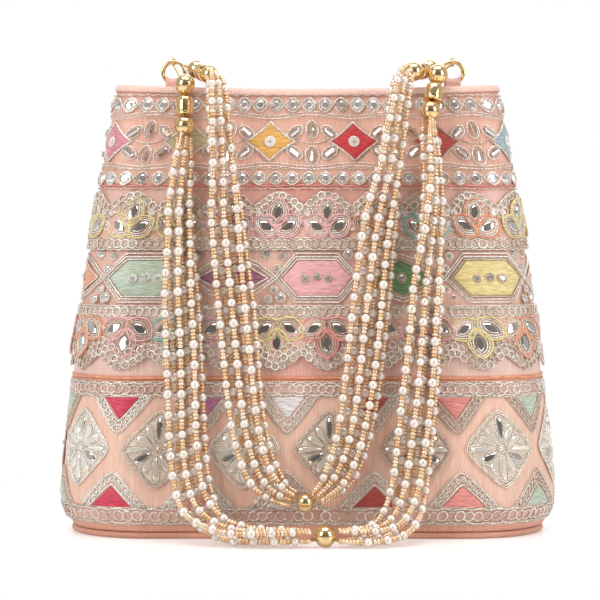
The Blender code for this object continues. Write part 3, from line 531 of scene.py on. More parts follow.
barrel_profile = [
    (0, -4.5), (2.6, -4.5), (3.75, -4.42), (4.0, -4.2), (4.02, -3.9), (3.8, -3.62), (3.95, -3.4),
    (4.05, -2.4), (4.15, -0.6), (4.15, 0.9), (4.02, 1.9), (3.72, 2.8), (3.15, 3.55), (2.3, 4.1), (1.3, 4.4),
    (0.7, 4.45), (0, 4.4)]
barrel_length, metal_gap = 9.0, 0.3
ring_radius, ring_wire, ring_height = 4.85, 0.675, 205.05
link_radius, link_wire, link_height = 1.75, 0.55, 209.9
eyes = {"front_left": (-60.0, -3.95), "front_right": (65.0, -3.95), "rear_left": (-60.0, 3.95),
        "rear_right": (65.0, 3.95)}
balls = {"front_left": (-54.4, -15.8, 199.1), "front_right": (57.7, -13.8, 203.7),
         "rear_left": (-49.9, 2.2, 206.6), "rear_right": (54.9, 2.2, 206.8)}
for corner, (eye_x, eye_y) in eyes.items():
    handle = corner.split("_")[0]
    radius = 4.5 if handle == "front" else 4.2
    ball, cap = np.array(balls[corner]), np.array(ends[corner][0])
    run = (cap - ball) / np.linalg.norm(cap - ball)
    cap = ball + run * (barrel_length + 2 * (metal_gap + radius))
    eye = np.array([eye_x, eye_y, link_height])
    leave = (ball - eye) * [0, 1, 1] if handle == "front" else np.array([0.0, -1.0, 0.0])
    start = eye + link_radius * leave / np.linalg.norm(leave)
    arm_end = ball - (ball - start) * radius * 0.92 / np.linalg.norm(ball - start)
    parts = [stood(wire_ring(link_radius, link_wire, 28, 10), eye, (1, 0, 0)),
             (*tube(even_line(np.array([start, arm_end]), 6), link_wire, 10), 0, 0.5),
             stood(ball_form(radius, 0.9, 40), ball, run),
             stood(turned_form(barrel_profile, 44), (ball + cap) / 2, -run),
             stood(ball_form(radius, 1.5, 40), cap, run),
             (*tube(even_line(np.array([ball, cap]), 4), 0.7, 8), 0, 0.5)]
    make_piece("handle_end_" + corner, parts, [gold_finish], handle + "_handle",
               [kind + "_" + corner for kind in ("link", "ball", "barrel", "cap")])
    make_piece("mouth_ring_" + corner,
               [stood(wire_ring(ring_radius, ring_wire, 56, 12), (eye_x, eye_y, ring_height), (0, 1, 0))],
               [gold_finish], "bag", ["ring_" + corner])
for handle, radius, axis in (("front", 4.65, (1, 0, 0)), ("rear", 3.9, (1, 0, 0.05))):
    bead = stood(ball_form(radius, 1.7, 44), ends[handle + "_left"][1], axis)
    make_piece("gathering_bead_" + handle, [bead], [gold_finish], handle + "_handle",
               ["gather_ball_" + handle])

# Pouch cloth
# A front and a back panel of embroidered satin on a stiff backing, sewn together at the sides. Net
# laces are sewn over the satin in level bands, so the cloth stands a little proud there.
foot_height, widest_height, mouth_height = 3.1, 17.5, 198.5
corner_share = 0.9
quarter = np.linspace(math.pi / 2, 0.0, 65)
quarter_arc = run_along(np.stack([corner_share * np.cos(quarter), np.sin(quarter)], axis=1))


def half_size(z, foot, widest, top, bulge):
    """Half the width or depth: tucked in below, then a bulging slope to the mouth."""
    rise = np.clip((z - widest_height) / (mouth_height - widest_height), 0.0, 1.0)
    tuck = np.clip((widest_height - z) / (widest_height - foot_height), 0.0, 1.0)
    return widest + (top - widest) * rise + bulge * 4.0 * rise * (1.0 - rise) - (widest - foot) * tuck ** 2.2


def outline_sizes(z):
    """Half the depth at a height, the width of the round corner and half the straight face."""
    depth = half_size(z, 40.0, 42.0, 10.0, 2.0)
    return depth, corner_share * depth, half_size(z, 105.6, 110.6, 85.0, 2.4) - corner_share * depth


def round_length(z):
    """The length once round the pouch at a height."""
    depth, _, flat = outline_sizes(z)
    return 4.0 * (flat + quarter_arc[-1] * depth)


def skin(turn, z, proud):
    """Points and outward directions at shares of a turn from the front's middle towards +X.

    The outline at a height is a straight face with a quarter ellipse at each side. The share is
    measured along it, and the point is raised off it by proud.
    """
    turn, z, proud = np.broadcast_arrays(turn, z, proud)
    depth, corner, flat = outline_sizes(z)
    whole = round_length(z)
    turn = (turn + 0.5) % 1.0 - 0.5
    behind = np.abs(turn) > 0.25
    away = np.where(behind, whole / 2 - np.abs(turn) * whole, np.abs(turn) * whole)
    side = np.where(behind, 1.0, -1.0)
    angle = np.interp(np.clip(away - flat, 0.0, None) / depth, quarter_arc, quarter)
    lean = np.stack([np.cos(angle) / corner, np.sin(angle) / depth], axis=-1)
    lean /= np.linalg.norm(lean, axis=-1, keepdims=True)
    hand = np.where(turn < 0.0, -1.0, 1.0)
    out = np.stack([hand * lean[..., 0], side * lean[..., 1], 0.0 * z], axis=-1)
    x = hand * (np.minimum(away, flat) + corner * np.cos(angle))
    return np.stack([x, side * depth * np.sin(angle), z], axis=-1) + out * proud[..., None], out


def edge_drop(turn, z):
    """How far the mouth's edge dips below its ends: 2 mm in the middle, by the square of x."""
    x = skin(turn, z, 0.0)[0][..., 0]
    return 2.0 * (1.0 - np.minimum(np.abs(x) / 85.0, 1.0) ** 2)


def dipped(turn, z):
    """Heights lowered with the mouth's edge, fully at the edge and not at all below 188 mm."""
    return z - edge_drop(turn, z) * np.clip((z - 188.0) / (mouth_height - 188.0), 0.0, 1.0)


def banded(z, bands, blend):
    """Values by height: each band (start, value) fades into the next over the blend."""
    starts = np.array([start for start, _ in bands[1:]])
    values = np.array([np.atleast_1d(value) for _, value in bands], dtype=float)
    part = np.clip((z[..., None] - starts) / blend + 0.5, 0.0, 1.0)
    part = part * part * (3.0 - 2.0 * part)
    return values[0] + np.einsum("...k,kc->...c", part, np.diff(values, axis=0))


def cloth_finish(name, ribs, depth, sheen, roughness, spangle=0.0):
    """Satin or net whose colour is in an attribute, with ribs drawn out along one direction of the cloth.

    The ribs are noise on the cloth's own place in millimetres (along, up), stretched by the ribs'
    two scales. They shade that colour and raise the surface. On the panels' plain strips the colour
    holds painted shade as well as the dye.
    """
    finish, tree, shader = new_finish(name, {
        "Roughness": roughness, "Sheen Weight": sheen, "Sheen Roughness": 0.4,
        "Sheen Tint": (1.0, 0.9, 0.85, 1)})
    dye_and_shade, place = attribute(tree, "dye_and_shade"), attribute(tree, "weave")
    stretch = added(tree, "VectorMath", "MULTIPLY", {1: (*ribs, 1.0)})
    noise = added(tree, "TexNoise", values={"Scale": 1.0, "Detail": 3.0})
    shade = added(tree, "MapRange", values={
        "From Min": 0.3, "From Max": 0.7, "To Min": 1.0 - depth, "To Max": 1.0 + 0.6 * depth})
    tone = added(tree, "VectorMath", "SCALE")
    bump = added(tree, "Bump", values={"Strength": 0.5, "Distance": 0.0003})
    linked(tree, (place, "Vector", stretch, 0), (stretch, 0, noise, "Vector"), (noise, "Fac", shade, "Value"),
           (dye_and_shade, "Color", tone, 0), (shade, "Result", tone, "Scale"), (tone, 0, shader, "Base Color"),
           (noise, "Fac", bump, "Height"), (bump, "Normal", shader, "Normal"))
    if spangle:
        grain = added(tree, "TexVoronoi", values={"Scale": 1.7})
        glint = added(tree, "MapRange", values={
            "From Min": 0.05, "From Max": 0.35, "To Min": spangle, "To Max": 0.0})
        linked(tree, (place, "Vector", grain, "Vector"), (grain, "Distance", glint, "Value"),
               (glint, "Result", shader, "Metallic"))
    return finish


def dress(piece, weave, dye_and_shade):
    """Gives a piece's points their place on the cloth in millimetres and their colour: the dye, and on the
    panels' plain strips painted shade as well.
    """
    piece.data.attributes.new("weave", "FLOAT_VECTOR", "POINT").data.foreach_set("vector", weave.ravel())
    colours = np.column_stack([np.broadcast_to(dye_and_shade, weave.shape), np.ones(len(weave))])
    piece.data.attributes.new("dye_and_shade", "FLOAT_COLOR", "POINT").data.foreach_set("color", colours.ravel())


def sheet(name, outer, inner, weave, dye_and_shade, finish, replaced):
    """A closed sheet of cloth between an outer and an inner grid of points (rows, columns, 3)."""
    number = np.arange(outer[..., 0].size).reshape(outer.shape[:2])
    face = np.dstack([number[:-1, :-1], number[:-1, 1:], number[1:, 1:], number[1:, :-1]]).reshape(-1, 4)
    rim = np.concatenate([number[0, :], number[1:, -1], number[-1, -2::-1], number[-2:0:-1, 0]])
    after = np.roll(rim, -1)
    edge = np.stack([rim, rim + number.size, after + number.size, after], axis=1)
    quads = np.vstack([face, face[:, [0, 3, 2, 1]] + number.size, edge])
    points = np.concatenate([outer.reshape(-1, 3), inner.reshape(-1, 3)])
    piece = make_piece(name, [(points, quads, none3, 0, 0.5)], [finish], "bag", replaced)
    weave = np.dstack([weave, 0 * weave[..., 0]]).reshape(-1, 3)
    dye_and_shade = np.broadcast_to(dye_and_shade, outer.shape).reshape(-1, 3)
    dress(piece, np.concatenate([weave, weave]), np.concatenate([dye_and_shade, dye_and_shade]))


satin_finish = cloth_finish("ribbed_satin", (2.6, 0.10), 0.16, 0.35, 0.42)
net_finish = cloth_finish("spangled_net", (1.3, 1.3), 0.34, 0.3, 0.5, spangle=0.55)
cloth_bands = [(start, linear(tone)) for start, tone in (
    (0.0, "efb096"), (6.9, "e4b6a4"), (13.2, "f5c6ae"), (62.6, "e0b8a8"), (67.9, "f0a580"), (70.9, "f4cfc0"),
    (101.0, "efc2ae"), (126.4, "f0c4b4"), (152.3, "edb4a2"), (154.6, "e8b49f"), (165.0, "f0bba6"),
    (183.7, "e5b3a2"), (194.2, "f2c6b7"))]
proud_bands = [(0.0, 0.0), (7.0, 0.5), (13.1, 0.0), (62.5, 0.5), (67.8, 0.0), (155.2, 0.5), (164.8, 0.0),
               (183.8, 0.5), (193.8, 0.0)]
half_panel = 0.2494
seam_round, seam_reach = 430.0, 1.3
for side, panel_name in ((0.0, "front_panel"), (0.5, "back_panel")):
    turn, z = np.meshgrid(side + np.linspace(-half_panel, half_panel, 261),
                          np.linspace(foot_height, mouth_height, 181))
    across = (turn - side) * round_length(z)
    ripple = 0.22 * np.sin(across / 17.0 + z / 31.0) + 0.16 * np.sin(across / 6.1 - z / 23.0)
    seam = -0.7 * np.exp(-((0.25 - np.abs(turn - side)) * seam_round / seam_reach) ** 2)
    proud = banded(z, proud_bands, 0.9)[..., 0] + ripple * np.clip((195 - z) / 20, 0, 1) * 0.6 + seam
    z = dipped(turn, z)
    shade = banded(z, cloth_bands, 1.0)
    # Painted shade: the plain satin strips at 75 and 149 mm are darkened towards the middle of each face and
    # stay pale at the sides. This stands in for the satin's uneven sheen and shade, not its dye.
    painted_shade_centre = np.clip(1.0 - np.abs(across) / 60.0, 0.0, 1.0)[..., None]
    painted_shade_strips = (np.exp(-((z - 75.0) / 6.0) ** 4) + np.exp(-((z - 149.0) / 7.0) ** 4))[..., None]
    shade = shade * (1.0 - painted_shade_strips * painted_shade_centre * [0.12, 0.34, 0.36])
    stripe = 0.5 + 0.5 * np.sin(across * 2 * math.pi / 5.2)
    lower_panel = (np.clip((z - 13.5) / 1.5, 0, 1) * np.clip((62.5 - z) / 1.5, 0, 1) * stripe)[..., None]
    shade = shade * (1.0 + lower_panel * [0.02, 0.10, 0.14])
    sheet("embroidered_" + panel_name, skin(turn, z, proud)[0], skin(turn, z, -1.6)[0],
          np.stack([across, z], axis=-1), shade, satin_finish, [panel_name])

# Lining, mouth binding, base and piping
# A loose satin lining, a folded satin strip over the mouth's edge, a satin base with its board and
# a piped cord where the base joins the panels.
weave_round = 440.0


def round_points(z, inset):
    """Points round the pouch for a column of heights, inside the cloth by the inset, and their weave."""
    turn, z = np.meshgrid(np.linspace(0.5, 1.5, 241), z)
    z = dipped(turn, z)
    return skin(turn, z, -inset)[0], np.stack([turn * weave_round, z], axis=-1)


wall = np.concatenate([[3.8, 3.8], np.linspace(5.0, mouth_height, 60)])
outside, weave = round_points(wall, 1.9)
inside, _ = round_points(np.maximum(wall, 4.6), 2.7)
for grid in (outside, inside):
    grid[0, :, :2] *= 0.001
along, up = weave[..., 0], weave[..., 1]
inside[..., 1] += (0.25 * np.sin(along / 5.0 + up / 40.0) * np.clip((190.0 - up) / 25.0, 0.0, 1.0)
                   * np.clip((up - 5.0) / 10.0, 0.0, 1.0))
sheet("satin_lining", outside, inside, weave, linear("e8bfae"), satin_finish, ["lining"])


def round_cord(name, section, follow_edge, tone, replaced):
    """A closed band of satin round the pouch from a closed section of (inset, height) points.

    Its heights count from the table, or from the mouth's dipping edge if it follows that.
    """
    inset, height = np.array(section, dtype=float).T
    turn, up = np.meshgrid(np.linspace(0.5, 1.5, 300, endpoint=False), height)
    z = up + mouth_height - edge_drop(turn, mouth_height) if follow_edge else up
    points, _ = skin(turn, z if follow_edge else foot_height, -inset[:, None])
    points[..., 2] = z
    piece = make_piece(name, [(points.reshape(-1, 3), ring_faces(*z.shape), none3, 0, 0.5)], [satin_finish],
                       "bag", [replaced])
    weave = np.stack([turn * weave_round, up + inset[:, None], 0 * up], axis=-1)
    dress(piece, weave.reshape(-1, 3), linear(tone))


round_cord("mouth_binding", [
    (-1.0, -2.0), (-1.08, -1.3), (-1.05, -0.4), (-0.75, 0.45), (-0.15, 0.95), (1.3, 1.02), (2.85, 0.95),
    (3.45, 0.45), (3.7, -0.3), (3.72, -1.3), (3.7, -2.0), (3.0, -2.0), (3.0, 0.3), (-0.3, 0.3), (-0.3, -2.0)],
    True, "f3cabb", "top_binding")
round_cord("base_cord_piping", [0.8, 1.4] - 1.4 * circle(14)[:, ::-1], False, "e8a98f", "base_piping")

base_thick, board_thick, board_foot = 1.2, 2.0, 1.5
base_path = skin(np.arange(120) / 120.0, foot_height, -2.5)[0][:, :2]
base_form = stacked(base_path, [(scale, 0) for scale in (0, 0.5, 1)]
                    + [(scale, base_thick) for scale in (1, 0.5, 0)])
base_cloth = make_piece("base_satin", [(*base_form, 0, 0.5)], [satin_finish], "bag",
                        ["base_panel"])
dress(base_cloth, base_form[0], linear("e0a18a"))
board_finish = tinted_finish("grey_fibre_board", ["6f6d69", "87847f"], 0.9, speckle_and_glint=0.6)
board_points = base_form[0] * [1, 1, board_thick / base_thick] + [0, 0, board_foot]
make_piece("base_stiffener", [(board_points, *base_form[1:], 0, 0.5)], [board_finish], "bag",
           ["base_board"])

# Ring tabs
# A short folded strap of the same satin holds each ring. Its two legs go down inside the mouth,
# between the panels and the lining, and are sewn in there.
tab_across = np.linspace(-3.4, 3.4, 15)
tab_fold = ring_height - np.sqrt(ring_radius ** 2 - tab_across ** 2)
tab_arc = np.linspace(0.0, math.pi, 13)[:, None]
tab_leg = np.linspace(188.5, 199.0, 8)[:, None]


def strap(x, y, reach):
    """The strap's points round a fold at x and y: up one leg, over in a half circle, down the other."""
    side = np.full_like(tab_leg, reach)
    sides = np.vstack([-side, -reach * np.cos(tab_arc), side])
    leg = tab_leg + 0 * tab_across
    z = np.vstack([leg, tab_fold + reach * np.sin(tab_arc), leg[::-1]])
    return np.dstack([*np.broadcast_arrays(x + tab_across, y + sides), z])


for corner, (eye_x, eye_y) in eyes.items():
    grid = strap(eye_x, eye_y, 2.05)
    sheet("ring_tab_" + corner, grid, strap(eye_x, eye_y, 1.25), grid[..., [2, 0]], linear("f0bfb2"),
          satin_finish, ["tab_" + corner])

# Scalloped laces
# Two bands of stiff spangled net, cut in arches on one side and paler along both edges. They are
# sewn round the pouch over the satin.
upper = {"count": 20, "shift": -2.2, "straight": 126.2, "cusp": 145.5, "crest": 151.8}
lower = {"count": 22, "shift": -2.6, "straight": 101.6, "cusp": 80.0, "crest": 73.7}
net_round = 450.0


def lace_start(lace):
    """The share of the round at which a lace's first arch starts."""
    return lace["shift"] / round_length(lace["straight"])


def free_edge(lace, share):
    """The height of a lace's scalloped edge at a share of the round."""
    arches = np.abs(np.sin(math.pi * lace["count"] * (share - lace_start(lace))))
    return lace["cusp"] + (lace["crest"] - lace["cusp"]) * arches


for name, lace, tone in (("upper", upper, "e8bcaa"), ("lower", lower, "eabfae")):
    turn = np.linspace(0.5, 1.5, lace["count"] * 24 + 1) + lace_start(lace)
    part = np.linspace(0.0, 1.0, 12)[:, None]
    z = lace["straight"] + (free_edge(lace, turn) - lace["straight"]) * part
    turn = np.broadcast_to(turn, z.shape)
    if name == "lower":
        turn, z, part = turn[::-1], z[::-1], part[::-1]
    lift = 1.35 + 0.12 * part + 0.06 * np.sin(turn * 300)
    rim = (np.clip((part - 0.66) / 0.2, 0, 1) + np.clip((0.22 - part) / 0.1, 0, 1))[..., None]
    dye_and_shade = (1 - rim) * linear(tone) + rim * linear("dec6b4")
    sheet(name + "_scalloped_net", skin(turn, z, lift)[0], skin(turn, z, lift - 0.5)[0],
          np.stack([turn * net_round, z], axis=-1), dye_and_shade, net_finish, [name + "_scallop_lace"])

# Silver zari work
# Couched metallic cord, tiny rings, faceted glass stones in claw cups, mirrors, spangles and bugle
# beads, all sewn by hand through the cloth. Everything is drawn flat and laid on the pouch's skin.
work_finishes = [
    # The silver thread's speckle paints fine glints into its colour.
    tinted_finish("silver_zari", ["d5bca8", "efe1d2", "fcf4ea"], 0.28, metallic=0.38, speckle_and_glint=0.9),
    tinted_finish("foiled_glass", ["dcd6d3", "ffffff"], 0.08, metallic=0.78, coat=0.6),
    tinted_finish("cut_mirror", ["c9c5c0", "f4f0ea"], 0.04, metallic=1.0),
    tinted_finish("white_spangle", ["f3dfd6", "fff8f2"], 0.22, metallic=0.15, coat=0.8),
    tinted_finish("pale_mirror", ["eaddca", "fff8ee"], 0.12, metallic=0.40, coat=0.5)]
zari, stone, mirror, spangle, pale, to_dye = 0, 1, 2, 3, 4, -1
silk_tones = {
    "rose": "e0909a", "olive": "cdbd92", "amber": "f0b460", "red": "d93a3f", "maroon": "bb4b40",
    "mist": "a5b9c0", "sage": "c3cfb8", "crimson": "dc3552", "orchid": "d387b0", "white": "ece5e3",
    "teal": "8fd0c4", "yellow": "efd993", "orange": "f2a27a", "plum": "a86a80", "green": "6f9a66",
    "coral": "f0968c", "pink": "f5b4b4", "cream": "ecd9c4"}


def silk_finish(name, tone):
    """Floss of one dye, worked in fine level stitches: noise drawn out along the stitches."""
    finish, tree, shader = new_finish("floss_" + name, {"Roughness": 0.45, "Sheen Weight": 0.3})
    colour = np.array(linear(tone))
    place = added(tree, "TexCoord")
    stretch = added(tree, "VectorMath", "MULTIPLY", {1: (260.0, 260.0, 1900.0)})
    noise = added(tree, "TexNoise", values={"Scale": 1.0})
    ramp = ramped(tree, [(0.34, colour * 0.72), (0.68, np.minimum(colour * 1.12 + 0.02, 1.0))])
    bump = added(tree, "Bump", values={"Strength": 0.7, "Distance": 0.0002})
    linked(tree, (place, "Object", stretch, 0), (stretch, 0, noise, "Vector"), (noise, "Fac", ramp, "Fac"),
           (noise, "Fac", bump, "Height"), (ramp, "Color", shader, "Base Color"),
           (bump, "Normal", shader, "Normal"))
    return finish


silk_slot = {name: len(work_finishes) + place for place, name in enumerate(silk_tones)}
work_finishes += [silk_finish(name, tone) for name, tone in silk_tones.items()]


def silk_dyes(names):
    """The finish numbers of floss colours given in one string."""
    return [silk_slot[name] for name in names.split()]


def thread_form(path, wire, slot=zari, closed=True):
    """A thread of four faces laid flat along a path of (across, up), its foot on the cloth."""
    path = np.array(path, dtype=float)
    ahead = np.roll(path, -1, axis=0) - np.roll(path, 1, axis=0) if closed else np.gradient(path, axis=0)
    aside = np.stack([-ahead[:, 1], ahead[:, 0]], axis=1) / np.linalg.norm(ahead, axis=1)[:, None]
    section = wire * circle(4, math.pi / 4)
    body = path[:, None] + aside[:, None] * section[:, :1]
    high = np.broadcast_to(wire * 0.8 + section[:, 1], body.shape[:2])
    quads, corner = ring_faces(len(path), 4, closed), np.arange(4)
    if not closed:
        quads = np.vstack([quads, corner[::-1], quads.max() - 3 + corner])
    return np.dstack([body, high]).reshape(-1, 3), quads, none3, slot, 0.5


def level_form(path, levels, slot):
    """A closed form of one outline at several (scale, height) levels, as a part of one finish."""
    return (*stacked(path, levels), slot, 0.5)


def pad_form(path, rise, slot, bevel, rings):
    """A low pad over a closed outline, with a bevelled edge and a flat top."""
    inner = [(bevel * (rings - step) / rings, rise) for step in range(rings)]
    return level_form(path, [(0, 0), (0.5, 0), (1, 0), (1, 0.4 * rise), *inner, (0, rise)], slot)


def moved(part, dx=0.0, dy=0.0, tilt=0.0, size=1.0):
    """A part turned by the tilt in degrees, sized and moved in the flat."""
    c, s = math.cos(math.radians(tilt)) * size, math.sin(math.radians(tilt)) * size
    x, y, high = part[0].T
    return (np.stack([x * c - y * s + dx, x * s + y * c + dy, high * size], axis=1), *part[1:])


def placed(share, swell):
    """The turn at which a share of a row's round is sewn: hand-set spacing opens and closes."""
    return share + swell * np.sin(4.0 * math.pi * share) / (4.0 * math.pi)


def sewn(part, shares, heights, base, level, swell=0.0, tilts=0.0, sizes=1.0, leans=0.0, dyes=None):
    """Copies of a part laid on the skin at shares of the round and heights, each with its own tint.

    The level gives the round's length, by which millimetres across become shares of it. Finish
    numbers below zero are replaced by each copy's own dye.
    """
    points, quads, triangles, _, _ = part
    count = len(shares)
    heights, base, tilts, sizes = (
        np.broadcast_to(value, count)[:, None] for value in (heights, base, tilts, sizes))
    c, s = np.cos(np.radians(tilts)), np.sin(np.radians(tilts))
    across = (points[:, 0] * c - points[:, 1] * s) * sizes
    up = (points[:, 0] * s + points[:, 1] * c) * sizes
    slopes = chance.uniform(-1, 1, (count, 2)) * leans
    out = points[:, 2] * sizes + base + across * slopes[:, :1] + up * slopes[:, 1:]
    where, _ = skin(placed(shares[:, None] + across / round_length(level), swell), heights + up, out)
    dyes = np.reshape(np.zeros(count, int) if dyes is None else dyes, (-1, 1))
    slots = tuple(np.where(slot < 0, dyes, slot).ravel() for slot in slots_of(part))
    step = (np.arange(count) * len(points))[:, None, None]
    tints = np.repeat(chance.uniform(0, 1, count), len(points))
    return (where.reshape(-1, 3), (quads + step).reshape(-1, 4), (triangles + step).reshape(-1, 3), slots,
            tints)


def couched(height, proud, wire, slot=zari, samples=640, tint=0.5, swell=0.0):
    """A cord right round the pouch whose height is a formula of the share of the round."""
    share = np.arange(samples) / samples
    centre, out = skin(placed(share, swell), height(share), proud)
    aside = np.cross(out, np.roll(centre, -1, axis=0) - np.roll(centre, 1, axis=0))
    aside /= np.linalg.norm(aside, axis=1)[:, None]
    section = wire * circle(4, math.pi / 4)
    body = centre[:, None] + aside[:, None] * section[:, :1] + out[:, None] * section[:, 1:]
    return body.reshape(-1, 3), ring_faces(samples, 4), none3, slot, tint


def in_row(count, shift, level, half=0.0):
    """The shares of a row's pieces: even steps, shifted in millimetres at the level."""
    return (np.arange(count) + half) / count + shift / round_length(level)


def lens(length, width, steps):
    """A pointed leaf outline along up, half sizes given."""
    up, across = circle(steps).T
    return np.stack([-width * across * np.abs(across) ** 0.7, length * up], axis=1)


def corners_path(corners, steps):
    """A closed outline through corners with even steps along each side."""
    corners = np.array(corners, dtype=float)
    part = np.arange(steps)[:, None] / steps
    return np.vstack([a + (b - a) * part for a, b in zip(corners, np.roll(corners, -1, axis=0))])


def gem_form(radius, height, slot=stone):
    """A faceted stone: a round girdle below a flat table, with three-cornered facets between."""
    rim, half_step = circle(8) * radius, circle(8, math.pi / 8) * radius
    points = np.vstack([np.column_stack([outline, np.full(8, high)]) for outline, high in (
        (rim * 0.9, 0), (rim, 0.3 * height), (half_step * 0.58, height))] + [[0, 0, 0], [0, 0, height]])
    a, after = np.arange(8), np.roll(np.arange(8), -1)
    triangles = np.vstack([
        np.stack([a + 8, after + 8, a + 16], axis=1), np.stack([after + 8, after + 16, a + 16], axis=1),
        np.stack([a + 16, after + 16, np.full(8, 25)], axis=1), np.stack([after, a, np.full(8, 24)], axis=1)])
    return points, np.stack([a, after, after + 8, a + 8], axis=1), triangles, slot, 0.5


def stone_form(radius):
    """A stone in its claw cup."""
    return merged([thread_form(circle(14) * (radius + 0.35), 0.36), gem_form(radius, 1.1)])


def cup_form(radius):
    """A cupped spangle without a bead."""
    return level_form(circle(12), [(0, 0), (radius * 0.8, 0), (radius, 0.35), (radius * 0.86, 0.45),
                                   (radius * 0.4, 0.16), (0, 0.14)], spangle)


def spangle_form(radius):
    """A cupped spangle with a faceted bead in its middle."""
    return merged([cup_form(radius), gem_form(radius * 0.36, 0.8)])


def zari_piece(name, parts):
    """A layer of embroidery that is sewn to the bag, with flat facets on stones and mirrors."""
    piece = make_piece(name, parts, work_finishes, "bag")
    slots = np.zeros(len(piece.data.polygons), dtype=np.int32)
    piece.data.polygons.foreach_get("material_index", slots)
    piece.data.polygons.foreach_set("use_smooth", ~np.isin(slots, (stone, mirror, pale)))


# Mouth rows
# Two rows of glass stones, each in an eye of couched cord, with wavy double cords between them. All
# are sewn through the satin, with a cord of coral floss below them and one at the mouth.
upper_row, upper_swell, upper_count, upper_shift = 174.0, 0.042, 11, -16.0
parts = []
for level, count, radius, reach in ((190.3, 52, 2.25, 3.2), (157.7, 56, 2.15, 2.9)):
    shares = in_row(count, 0.6, level)
    parts.append(sewn(stone_form(radius), shares, level, 0.55, level, leans=0.12))
    for hand in (1, -1):
        parts.append(couched(
            lambda share: level + hand * reach * np.cos(math.pi * count * (share - shares[0])),
            0.9 + 0.25 * hand, 0.34, tint=0.6))
    for edge in (-4.6, 4.3):
        parts.append(couched(lambda share: level + edge + 0.25 * np.sin(share * 500), 0.75, 0.26, tint=0.3))
start = upper_shift / round_length(upper_row)
for level, low, proud in ((185.6, -0.9, 0.55), (163.1, 0.8, 0.7)):
    for gap in (-0.65, 0.65):
        parts.append(couched(
            lambda share: level + gap + low * np.cos(2 * math.pi * upper_count * (share - start)),
            proud, 0.30, swell=upper_swell, tint=0.7))
parts.append(couched(lambda share: 154.4 + 0.2 * np.sin(share * 90), 0.35, 0.55, slot=silk_slot["coral"]))
parts.append(couched(lambda share: 196.0 + 0.0 * share, 0.1, 0.25, slot=silk_slot["coral"]))
zari_piece("mouth_stone_rows", parts)

# Diamond and flower row
# Floss diamonds in level stitches, outlined in cord with a spangle in the middle, alternate with
# six-petalled flowers of cord loops that each hold a silver bugle bead.
on_row = {"level": upper_row, "swell": upper_swell}
shares = in_row(upper_count, upper_shift, upper_row)
between = in_row(upper_count, upper_shift, upper_row, half=0.5)
hollow = corners_path([(10.0, 0.0), (0.0, 8.2), (-10.0, 0.0), (0.0, -8.2)], 8)
hollow = hollow * (1.0 - 0.07 * np.sin(np.arange(32) % 8 * math.pi / 8))[:, None]
diamond_pad, button = pad_form(hollow, 0.55, to_dye, 0.93, 3), spangle_form(2.5)
button = (button[0] + [0, 0, 0.5], *button[1:])
outlines = merged([thread_form(hollow * 1.03, 0.34), thread_form(hollow * 1.10, 0.22)])
bugle = turned_form([(0, -2.3), (0.85, -2.3), (0.95, -2.1), (0.95, 2.1), (0.85, 2.3), (0, 2.3)], 6)
bugle_form = (bugle[0][:, [1, 2, 0]] + [0, 0, 0.9], *bugle[1:], mirror, 0.5)
petals = [(0.0, 4.9, 0.0, 2.75, 4.0), (0.0, -6.6, 0.0, 3.0, 4.4), (-7.4, 3.7, -52.0, 2.4, 4.0),
          (7.4, 3.7, 52.0, 2.4, 4.0), (-7.4, -5.3, 52.0, 2.4, 4.0), (7.4, -5.3, -52.0, 2.4, 4.0)]
flower = merged([
    moved(merged([thread_form(circle(14) * [wide, tall], 0.36),
                  thread_form(circle(14) * [wide - 0.75, tall - 0.75], 0.2), bugle_form]), x, y, tilt)
    for x, y, tilt, wide, tall in petals])
leaf_stalk = thread_form([(-6.5, 0.3), (-3, -0.9), (0, -1.2), (3, -0.9), (6.5, 0.3)], 0.3, closed=False)
zari_piece("diamond_and_flower_row", [
    sewn(merged([diamond_pad, button]), shares, upper_row, 0.35, **on_row,
         dyes=silk_dyes("amber red maroon mist rose teal amber orchid sage rose olive")),
    sewn(outlines, shares, upper_row, 0.6, **on_row),
    sewn(flower, between, 174.4, 0.15, **on_row), sewn(leaf_stalk, between, 174.4, 0.15, **on_row)])

# Trefoils on the scalloped laces
# Three leaf-shaped mirrors at every arch, each in two loops of silver cord and one of floss, with
# two or three rows of tiny rings along the scalloped edge and a braid of rings on the straight one.
net_face = 1.42
ring_form, braid_form = thread_form(circle(10) * 1.55, 0.36), thread_form(circle(12) * 1.85, 0.38)
leaf_glass = level_form(lens(3.9, 2.05, 14), [
    (0, 0), (0.5, 0), (1, 0.1), (1, 0.5), (0.8, 0.85), (0.4, 0.85), (0, 0.85)], mirror)
leaf = merged([leaf_glass, thread_form(lens(5.1, 3.1, 18), 0.42), thread_form(lens(6.2, 4.3, 18), 0.42),
               thread_form(lens(7.2, 5.4, 18), 0.60, slot=to_dye)])
stem = thread_form([(-0.6, -2.6), (0.3, -1.0), (-0.2, 0.6), (0.4, 2.0)], 0.5, closed=False)
three_spangles = merged([moved(spangle_form(2.4), 0, -4.6), moved(cup_form(1.6), -2.1, 1.2),
                         moved(cup_form(1.6), 2.1, 1.0)])
leaf_dyes = silk_dyes("pink orange yellow teal pink yellow coral teal yellow orange")
